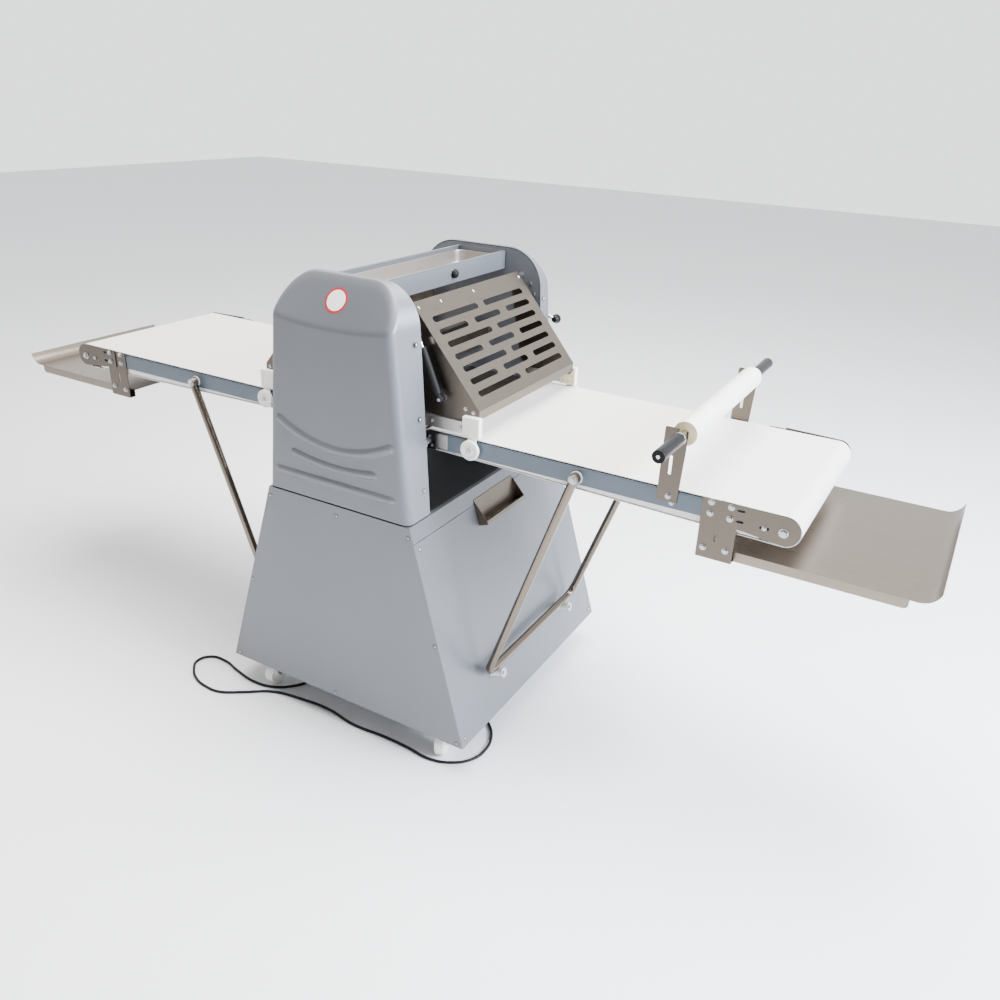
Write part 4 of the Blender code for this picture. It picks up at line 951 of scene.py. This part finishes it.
def guard():
    """The right guard: slotted sheet, foot flange, cheeks, side strips, wheel carriers and bolts."""
    top_x, top_z, foot_x, foot_z = GUARD_TOP.x, GUARD_TOP.z, GUARD_FOOT.x, GUARD_FOOT.z
    half = 0.2562
    flange = block((foot_x - 0.0028, -half, foot_z + 0.0005), (foot_x - 0.0004, half, 0.950), 0.0006)
    parts = [(guard_sheet(), "steel_y"), (flange, "steel_y")]
    for x, z in ((foot_x - 0.0016, foot_z), (top_x - 0.0008, top_z - 0.0004)):          # the two folds
        parts.append((bar((x, -half, z), (x, half, z), 0.0015, 0.0002, 20), "steel_y"))
    cheek = rounded([(top_x - 0.0008, top_z - 0.0008, 0.001), (foot_x - 0.0016, foot_z - 0.0008, 0.001),
                     (foot_x - 0.0016, 0.949, 0.001), (foot_x - 0.008, 0.938, 0.004), (0.190, 0.936, 0.006),
                     (0.168, 0.960, 0.010), (0.122, 1.188, 0.006), (0.131, 1.200, 0.002)], 5)
    carrier = rounded([(0.317, 0.910, 0.001), (0.317, 0.870, 0.008), (0.339, 0.870, 0.008), (0.339, 0.910, 0.001)])
    down = (GUARD_FOOT - GUARD_TOP).normalized()
    sheet_out = Vector((-down.z, 0, down.x))
    for s in (-1, 1):
        edge = s * GUARD_HALF
        parts.append((plate(cheek, edge, edge - s * 0.002, edge=0.0004), "steel_z"))
        parts.append((block((0.1905, edge - s * 0.001, 0.940), (0.302, edge + s * 0.006, 0.909), 0.0012), "pan"))
        parts.append((block((0.300, edge - s * 0.0013, 0.958), (0.347, s * 0.2725, 0.907), 0.0015, 3), "nylon"))
        for x in (0.3085, 0.3235, 0.3385):          # moulded cells on the inner side of the foot block
            for z in (0.9175, 0.9325, 0.9475):
                cell = block((x - 0.0062, s * 0.2552, z - 0.0062), (x + 0.0062, s * 0.2560, z + 0.0062), 0.0003)
                parts.append((cell, "cream"))
        parts.append((plate(carrier, s * 0.2675, s * 0.2735, edge=0.0006), "nylon"))
        for start, end, radius, rim, sides in ((0.2730, 0.2868, 0.0035, 0.0004, 32),
                                               (0.2854, 0.2884, 0.0062, 0.0006, 24)):
            axle = bar((WHEEL.x, s * start, WHEEL.z), (WHEEL.x, s * end, WHEEL.z), radius, rim, sides)
            parts.append((axle, "zinc"))
        for x, z in ((0.300, 0.972), (0.322, 0.966), (0.2915, 0.9245), (0.205, 0.9245)):
            out = edge + s * (0.006 if z < 0.93 else 0)
            parts += hex_bolt((x, out, z), (0, s, 0), 0.007, 0.0028, 0.0055)
        for y in (s * 0.245, 0.002 if s > 0 else -0.150):
            parts += screw(GUARD_TOP + down * 0.016 + Vector((0, y, 0)), sheet_out)
    x, z = SPRING_FOOT.x, SPRING_FOOT.z
    return parts + [(bar((x, -GUARD_HALF - GAP, z), (x, -0.262, z), 0.008, 0.0005, 6), "zinc")]


def guard_wheel(y):
    """A small moulded wheel with a sunken web."""
    edge = [(0.0042, 0.005), (0.0085, 0.005), (0.0095, 0.0035), (0.0175, 0.0035), (0.0190, 0.005), (0.0230, 0.005),
            (0.0248, 0.0035), (0.0250, 0.002)]
    return [(turned(mirrored(edge), (WHEEL.x, y, WHEEL.z), Y_AXIS, 0.0003), "nylon")]


def gas_cylinder():
    """The black pressure tube with its ball socket."""
    line = (SPRING_HEAD - SPRING_FOOT).normalized()
    profile = [(0, 0.018), (0.0045, 0.018), (0.0045, 0.130), (0.0072, 0.130), (0.0085, 0.1285), (0.0085, 0.016),
               (0.0070, 0.013), (0.005, 0.011), (0.005, 0.004), (0, 0.004)]
    return [(turned(profile, SPRING_FOOT, line, 0.0003, 40), "rubber"),
            (stub(SPRING_FOOT, Y_AXIS, -0.006, 0.016, 0.0072, 0.0015), "rubber"),
            (stub(SPRING_FOOT, Y_AXIS, -0.0062, 0.0200, 0.0045, 0.0008), "chrome")]


def gas_rod():
    """The polished rod with its eye and bolt."""
    line = (SPRING_HEAD - SPRING_FOOT).normalized()
    return [(bar(SPRING_FOOT + line * 0.022, SPRING_HEAD - line * 0.005, 0.004, 0.0004), "chrome"),
            (stub(SPRING_HEAD, line, -0.016, -0.004, 0.0058, 0.0006, 6), "black"),
            (stub(SPRING_HEAD, Y_AXIS, -0.006, 0.006, 0.007, 0.0012), "black"),
            (stub(SPRING_HEAD, Y_AXIS, -0.0068, 0.0068, 0.0042), "zinc")]


class SHEETER_OT_guards(Operator):
    """The slotted guards over both belts, with their wheels"""
    bl_idname = "sheeter.guards"
    bl_label = "Guards"

    def execute(self, context):
        for side, turn in SIDES:
            detail(f"{side}_guard", guard(), turn)
            for name, y in (("front", -WHEEL.y), ("rear", WHEEL.y)):
                detail(f"{side}_guard_wheel_{name}", guard_wheel(-y if turn else y), turn)
        return {"FINISHED"}


class SHEETER_OT_gas_springs(Operator):
    """The gas spring that holds each guard open"""
    bl_idname = "sheeter.gas_springs"
    bl_label = "Gas springs"

    def execute(self, context):
        for side, turn in SIDES:
            detail(f"{side}_gas_cylinder", gas_cylinder(), turn)
            detail(f"{side}_gas_rod", gas_rod(), turn)
        return {"FINISHED"}


# Belt tables

def belt_loop(offset, steps=28):
    """The loop around both rollers of the right table, at an offset from their faces."""
    lean = 2 * math.degrees(math.atan2(END_ROLLER.z - HINGE.z, END_ROLLER.x - HINGE.x))
    inner = arc(HINGE.x, HINGE.z, DRIVE_R + offset, 90, 270 + lean, steps)
    outer = arc(END_ROLLER.x, END_ROLLER.z, END_R + offset, lean - 90, 90, steps)
    return inner + outer


def table_frame():
    """Folded rails, the bed under the belt, the guide strips, and the hinge cheeks with their bolts."""
    start, end, bed = 0.235, END_ROLLER.x - END_R - 0.010, 0.241
    low, high = RAIL_FOOT, RAIL_TOP
    guide = [(0.240, 0.8560), (1.030, 0.8560), (1.030, 0.8364), (0.240, 0.8534)]     # strip down to the return run
    parts = [(block((start, -bed, high - 0.006), (end, bed, high), 0.0010), "steel_x"),
             (block((start, -bed, low + 0.002), (start + 0.004, bed, high - 0.001), 0.0008), "blue_grey")]
    for s in (-1, 1):
        parts += [(block((start, s * 0.240, low), (end, s * (RAIL_FACE - 0.0016), high), 0.0008), "blue_grey"),
                  (block((start, s * 0.263, low + 0.0030), (end, s * RAIL_FACE, high - 0.0030), 0.0008), "blue_grey"),
                  (block((0.226, s * 0.262, 0.858), (0.255, s * 0.2665, 0.895), 0.0008), "pan"),
                  (plate(guide, s * 0.2585, s * 0.2610, edge=0.0004), "nylon"),
                  (block((0.195, s * 0.2635, low), (0.2267, s * 0.2745, high), 0.0015, 3), "black")]
        for x, z in ((0.2085, 0.8885), (0.2155, 0.8655)):
            parts.append((bar((x, s * 0.2740, z), (x, s * 0.2765, z), 0.0042, 0.0006, 6), "zinc"))
    return parts


def belt():
    """The endless belt around both rollers of the right table."""
    loop = plate(belt_loop(GAP + BELT_THICK), -BELT_HALF, BELT_HALF, [belt_loop(GAP)], 0.0006)
    return [(loop, "belt")]


def end_plate(s):
    """The stainless plate at one end of the end roller, with its tensioner slots and bolts."""
    tip = arc(END_ROLLER.x, END_ROLLER.z + 0.003, 0.0335, 78, -78, 28)
    outline = [(0.945, 0.853), (0.945, 0.906), *tip]
    slots = [round_box(x0, x1, z - 0.003, z + 0.003, 0.0029)
             for x0, x1, z in ((0.980, 0.996, 0.893), (0.980, 0.996, 0.868), (1.030, 1.050, 0.867))]
    face, out = s * 0.2710, (0, s, 0)
    parts = [(plate(outline, s * 0.2688, face, slots, 0.0004), "steel_z")]
    for x, z in ((0.967, 0.8957), (0.967, 0.8688)):
        parts += hex_bolt((x, face, z), out)
    parts += hex_bolt((END_ROLLER.x, face, END_ROLLER.z), out, 0.013, 0.0055, 0.0105)
    return parts + hex_bolt((1.040, face, 0.867), out, 0.007, 0.003, 0.0055)


def catch_tray():
    """A folded tray with a curved lip, turned-down sides, hanger plates and their bolts."""
    start, end, skin, foot, face = 0.900, 1.353, 0.0018, 0.763, 0.2684
    upper = arc(end, TRAY_TOP + TRAY_LIP, TRAY_LIP, -90, -15, 16)
    lower = arc(end, TRAY_TOP + TRAY_LIP, TRAY_LIP + skin, -15, -90, 16)
    outline = [(start, TRAY_TOP), *upper, *lower, (start, TRAY_TOP - skin)]
    fold_z = TRAY_TOP - 0.001
    flange = rounded([(start, fold_z, 0), (start, foot, 0.002), (1.338, foot, 0.010), (1.338, fold_z, 0)])
    hanger = round_box(0.903, 0.983, foot, 0.903, 0.003)
    slot = round_box(0.938, 0.944, 0.806, 0.836, 0.0029)
    parts = [(plate(outline, -TRAY_HALF, TRAY_HALF, edge=0.0005), "steel_x")]
    for s in (-1, 1):
        fold_y = s * (TRAY_HALF - 0.001)
        parts += [(plate(flange, s * TRAY_HALF, s * (TRAY_HALF - 0.0015), edge=0.0004), "steel_x"),
                  (bar((start, fold_y, fold_z), (end, fold_y, fold_z), 0.0010, 0.0002, 16), "steel_x"),
                  (plate(hanger, s * 0.2664, s * face, [slot], 0.0004), "steel_z"),
                  (block((0.903, fold_y, foot), (0.983, s * 0.267, 0.765), 0.0006), "steel_x")]
        for x, z in ((0.923, 0.896), (0.923, 0.870), (0.918, 0.787), (0.967, 0.791)):
            parts += hex_bolt((x, s * face, z), (0, s, 0))
    return parts


def strut():
    """A bent tube with a flat lug, white washer and bolt at the top of each leg."""
    lean, bend = STRUT_PIVOT - STRUT_FOOT, 0.035
    half = []
    for step in range(11):
        angle = math.radians(90 * step / 10)
        rise = bend * (1 - math.cos(angle))
        half.append(Vector((STRUT_FOOT.x + lean.x * rise / lean.z, STRUT_FOOT.y - bend + bend * math.sin(angle),
                            STRUT_FOOT.z + rise)))
    half.append(STRUT_PIVOT - lean.normalized() * 0.010)
    route = [Vector((p.x, -p.y, p.z)) for p in reversed(half)] + half
    parts = [(tube(route, STRUT_R, 32), "tube")]
    pivot = Vector((STRUT_PIVOT.x, 0, STRUT_PIVOT.z))
    for s in (-1, 1):
        out = Vector((0, s, 0))
        parts += [(stub(pivot, out, 0.2665, 0.2690, 0.0155), "nylon"),
                  (stub(pivot, out, 0.2690, 0.2875, 0.0135, 0.0015), "steel_x"),
                  (stub(pivot, out, 0.2873, 0.2888, 0.0105, 0.0004), "zinc"),
                  (stub(pivot, out, 0.2886, 0.2925, 0.0075, 0.0008, 6), "zinc")]
    return parts


class SHEETER_OT_tables(Operator):
    """Both belt tables: frame, belt and rollers"""
    bl_idname = "sheeter.tables"
    bl_label = "Belt tables"

    def execute(self, context):
        for side, turn in SIDES:
            detail(f"{side}_table_frame", table_frame(), turn)
            detail(f"{side}_belt", belt(), turn)
            for name, centre, radius, reach in (("drive", HINGE, DRIVE_R, 0.2630),
                                                ("end", END_ROLLER, END_R, 0.2680)):
                body = roller(centre, radius, 0.2600, 0.008, reach)
                detail(f"{side}_{name}_roller", [(body, "zinc")], turn)
        return {"FINISHED"}


class SHEETER_OT_table_ends(Operator):
    """End plates and catch trays of both tables"""
    bl_idname = "sheeter.table_ends"
    bl_label = "End plates and trays"

    def execute(self, context):
        for side, turn in SIDES:
            for name, s in ENDS:
                detail(f"{side}_end_plate_{name}", end_plate(-s if turn else s), turn)
            detail(f"{side}_catch_tray", catch_tray(), turn)
        return {"FINISHED"}


class SHEETER_OT_struts(Operator):
    """The bent tube that props each table"""
    bl_idname = "sheeter.struts"
    bl_label = "Struts"

    def execute(self, context):
        for side, turn in SIDES:
            detail(f"{side}_strut", strut(), turn)
        return {"FINISHED"}


# Rolling pin

def pin_holder(s):
    """A plate with an open notch for the pin's shaft, a height slot and two bolts."""
    notch, top, foot = 0.0078, 1.0415, 0.872
    floor = arc(PIN.x, PIN.z, notch, 180, 360, 20)
    outline = [(0.800, foot), (0.8025, top - 0.003), (0.8055, top), (PIN.x - notch - 0.001, top),
               (PIN.x - notch, top - 0.001), *floor, (PIN.x + notch, top - 0.004),
               (PIN.x + notch + 0.001, top - 0.003),
               (PIN.x + 0.012, top - 0.003), (PIN.x + 0.013, top - 0.005), (PIN.x + 0.012, 0.990), (0.847, foot)]
    slot = round_box(0.8195, 0.8265, 0.934, 0.979, 0.0034)
    parts = [(plate(outline, s * 0.2664, s * 0.2694, [slot], 0.0005), "steel_z")]
    parts += hex_bolt((0.8267, s * 0.2694, 0.8846), (0, s, 0), 0.009, 0.0038, 0.007)
    parts += hex_bolt((0.8350, s * RAIL_FACE, 0.8690), (0, s, 0), 0.008, 0.0035, 0.006)
    return parts


def pin_shaft():
    """A steel shaft with a black grip, chrome rims and a flat cap at each end."""
    grip = [(0, 0.004), (0.0120, 0.004), (0.0138, 0.0055), (0.0145, 0.010), (0.0140, 0.045), (0.0140, 0.080),
            (0.0145, 0.113), (0.0140, 0.1185), (0, 0.1185)]
    parts = [(stub(PIN, Y_AXIS, -0.300, 0.300, 0.0075), "chrome")]
    for s in (-1, 1):
        out = Vector((0, s, 0))
        parts += [(turned(grip, PIN + out * 0.286, out, 0.0004), "black"),
                  (stub(PIN, out, 0.286, 0.2905, 0.0145, 0.0008), "chrome"),
                  (stub(PIN, out, 0.4040, 0.4095, 0.0143, 0.0015), "black"),
                  (stub(PIN, out, 0.4090, 0.4100, 0.0042, 0.0003), "chrome")]
    return parts


def pin_sleeve():
    """The white nylon sleeve with a cream bush in each end."""
    bore, skin, half = 0.0080, 0.027, 0.250
    end = [(bore + 0.001, half - 0.001), (skin * 0.92, half - 0.001), (skin * 0.96, half), (skin, half)]
    bush = [(bore, 0.0005), (skin * 0.92, 0.0005), (skin * 0.92, -0.006), (bore, -0.006)]
    parts = [(turned(mirrored(end), PIN, Y_AXIS, 0.0010), "nylon")]
    for s in (-1, 1):
        parts.append((turned(bush, PIN + Vector((0, s * (half - 0.0006), 0)), (0, s, 0), 0.0002), "cream"))
    return parts


class SHEETER_OT_rolling_pin(Operator):
    """The rolling pin and its two holders"""
    bl_idname = "sheeter.rolling_pin"
    bl_label = "Rolling pin"

    def execute(self, context):
        for name, s in ENDS:
            detail(f"pin_holder_{name}", pin_holder(s))
        detail("pin_shaft", pin_shaft())
        detail("pin_sleeve", pin_sleeve())
        return {"FINISHED"}


# Mains cord

def eased(value, start, end):
    """From 0 at start to 1 at end, slowly at both."""
    share = min(1, max(0, (value - start) / (end - start)))
    return share * share * (3 - 2 * share)


def coil_points():
    """Three turns from the top of the coil: outer, inner while climbing, outer above, and into the plug."""
    x, y = COIL_CENTRE
    step_in, steps = 0.0090, 14
    points = []
    for step in range(1, 3 * steps + 1):
        turn = step / steps
        angle = math.radians(90) + 2 * math.pi * turn
        radius = COIL_OUTER - step_in * (eased(turn, 0.65, 1.0) - eased(turn, 1.9, 2.4))
        height = CORD_HEIGHT + COIL_LAYER * eased(turn, 1.45, 1.85)
        points.append((x + radius * math.cos(angle), y + radius * math.sin(angle), height))
    return points + [(x - reach, y + COIL_OUTER, CORD_HEIGHT + COIL_LAYER) for reach in (0.022, 0.044, 0.062)]


def cord_length(points):
    """The length of the same smooth curve that the cord object follows."""
    curve = cord_curve("measure", points)
    curve.data.bevel_depth = 0
    bpy.context.view_layer.update()
    mesh = curve.evaluated_get(bpy.context.evaluated_depsgraph_get()).to_mesh()
    ends = [[mesh.vertices[index].co for index in edge.vertices] for edge in mesh.edges]
    length = sum((start - end).length for start, end in ends)
    bpy.data.objects.remove(curve)
    return length


def cord_curve(name, points):
    """A round cord along a smooth curve through the points."""
    data = bpy.data.curves.new(name, "CURVE")
    data.dimensions = "3D"
    data.bevel_depth = CORD_R
    data.bevel_resolution = 5
    data.resolution_u = 8
    data.use_fill_caps = True
    spline = data.splines.new("BEZIER")
    spline.bezier_points.add(len(points) - 1)
    for knot, point in zip(spline.bezier_points, points):
        knot.co = point
        knot.handle_left_type = knot.handle_right_type = "AUTO"
    obj = bpy.data.objects.new(name, data)
    bpy.context.scene.collection.objects.link(obj)
    return obj


class SHEETER_OT_mains_cord(Operator):
    """The mains cord with its coil, strain relief and plug"""
    bl_idname = "sheeter.mains_cord"
    bl_label = "Mains cord"

    def execute(self, context):
        points = [Vector(point) for point in CORD_ROUTE] + [Vector(point) for point in coil_points()]
        length = cord_length(points)
        flex = cord_curve("mains_cord", points)
        flex.data.materials.append(FINISHES["sheath"])
        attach(flex, ROOT)
        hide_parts("power_cord", "cord_coil")
        x, y, low = GLAND
        relief = [(0, low - 0.022), (0.0052, low - 0.022), (0.0080, low - 0.005), (0.0090, low), (0.0090, 0.0790),
                  (0, 0.0790)]
        piece("strain_relief", ROOT, [(turned(relief, (x, y, 0), (0, 0, 1), 0.0004, 32), "rubber")])
        plug = detail("power_plug", plug_parts())
        return {"FINISHED"}


def plug_parts():
    """A moulded two-pin plug with a waist for the fingers, lying beside the coil."""
    low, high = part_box("power_plug")
    y = (low.y + high.y) / 2
    face, back, height = low.x + 0.019, low.x + 0.064, 0.0285
    outline = rounded([(face, 0.0006, 0.004), (back - 0.014, 0.0006, 0.003), (back - 0.001, 0.006, 0.003),
                       (back - 0.001, 0.022, 0.003), (back - 0.014, height - 0.0005, 0.003),
                       (face, height - 0.0005, 0.004)])
    parts = [(plate(outline, y - 0.0155, y + 0.0155, edge=0.003, segments=3), "sheath"),
             (block((face + 0.006, y - 0.016, 0.005), (face + 0.009, y + 0.016, height - 0.005), 0.0008), "sheath")]
    neck = CORD_HEIGHT + COIL_LAYER
    parts.append((bar((back - 0.002, y, neck), (back + 0.022, y, neck), 0.0075, 0.0004, 24, 0.0052), "sheath"))
    for s in (-1, 1):
        prong = y + s * 0.0095
        pin = bar((face + 0.001, prong, 0.0145), (face - 0.0185, prong, 0.0145), 0.0023, 0.0008, 16)
        parts.append((pin, "chrome"))
    return parts


# Floor, lights and camera

class SHEETER_OT_stage(Operator):
    """Plain pale floor, soft studio lights and the camera"""
    bl_idname = "sheeter.stage"
    bl_label = "Stage"

    def execute(self, context):
        scene = context.scene
        bm = bmesh.new()
        bmesh.ops.create_grid(bm, x_segments=8, y_segments=8, size=14)
        mesh = bpy.data.meshes.new("floor")
        bm.to_mesh(mesh)
        bm.free()
        floor = bpy.data.objects.new("floor", mesh)
        scene.collection.objects.link(floor)
        # Matt painted studio floor, nearly white
        paint = surface("Pale studio floor", hex_colour("#f4f4f4"), 0.0, 0.75, 0.02, 0.00001, shade=0.005)
        mesh.materials.append(paint)
        world = bpy.data.worlds.new("studio")
        world.use_nodes = True
        tree = world.node_tree
        backdrop = tree.nodes["Background"]
        backdrop.inputs["Color"].default_value = (*hex_colour("#f4f6f9"), 1)
        # White screens behind and above, and a dim room in front
        heading = add_node(tree, "ShaderNodeTexCoord").outputs["Generated"]
        depth = add_node(tree, "ShaderNodeSeparateXYZ", links={"Vector": heading}).outputs["Y"]
        ramp = {"From Min": -0.5, "From Max": 0.3, "To Min": 0.45, "To Max": 2.2}
        glow = add_node(tree, "ShaderNodeMapRange", ramp, {"Value": depth}).outputs[0]
        tree.links.new(glow, backdrop.inputs["Strength"])
        scene.world = world
        for name, place, target, size, power, tint in (
                ("key", (4.0, 0.3, 2.6), (0.3, 0, 0.6), 2.6, 800, "#e4efff"),
                ("sky", (0.2, 0.2, 4.2), (0, 0, 0.6), 3.2, 420, "#fffaf5"),
                ("fill", (-2.2, -3.6, 2.6), (0, 0, 0.7), 1.2, 6, "#fff8f2")):
            data = bpy.data.lights.new(name, "AREA")
            data.shape = "DISK"
            data.size, data.energy, data.color = size, power, hex_colour(tint)
            lamp = bpy.data.objects.new(name, data)
            lamp.location = place
            lamp.rotation_euler = (Vector(target) - Vector(place)).to_track_quat("-Z", "Y").to_euler()
            scene.collection.objects.link(lamp)
        camera = bpy.data.objects.new("camera", bpy.data.cameras.new("camera"))
        camera.data.lens, camera.data.sensor_width = CAMERA_LENS, CAMERA_SENSOR
        camera.matrix_world = CAMERA_PLACE
        scene.collection.objects.link(camera)
        scene.camera = camera
        return {"FINISHED"}


class SHEETER_PT_panel(Panel):
    """Lists the operators that build the dough sheeter"""
    bl_idname = "SHEETER_PT_panel"
    bl_label = "Dough sheeter"
    bl_space_type = "VIEW_3D"
    bl_region_type = "UI"
    bl_category = "Sheeter"

    def draw(self, context):
        layout = self.layout
        for group in (context.scene.sheeter_sizes, context.scene.sheeter_colours):
            column = layout.column(align=True)
            for name in group.__annotations__:
                column.prop(group, name)
        for operator in OPERATORS:
            layout.operator(operator.bl_idname)


OPERATORS = (
    SHEETER_OT_stage, SHEETER_OT_mains_cord, SHEETER_OT_cabinet, SHEETER_OT_castors, SHEETER_OT_side_frames,
    SHEETER_OT_side_covers, SHEETER_OT_top_frame, SHEETER_OT_roller_unit, SHEETER_OT_controls, SHEETER_OT_guards,
    SHEETER_OT_gas_springs, SHEETER_OT_tables, SHEETER_OT_table_ends, SHEETER_OT_struts, SHEETER_OT_rolling_pin,
)
CLASSES = (SheeterSizes, SheeterColours, *OPERATORS, SHEETER_PT_panel)


def register():
    for item in CLASSES:
        bpy.utils.register_class(item)
    bpy.types.Scene.sheeter_sizes = PointerProperty(type=SheeterSizes)
    bpy.types.Scene.sheeter_colours = PointerProperty(type=SheeterColours)


def unregister():
    del bpy.types.Scene.sheeter_sizes, bpy.types.Scene.sheeter_colours
    for item in reversed(CLASSES):
        bpy.utils.unregister_class(item)


def main():
    register()
    make_finishes()
    for operator in OPERATORS:
        group, name = operator.bl_idname.split(".")
        getattr(getattr(bpy.ops, group), name)()


if __name__ == "__main__":
    main()
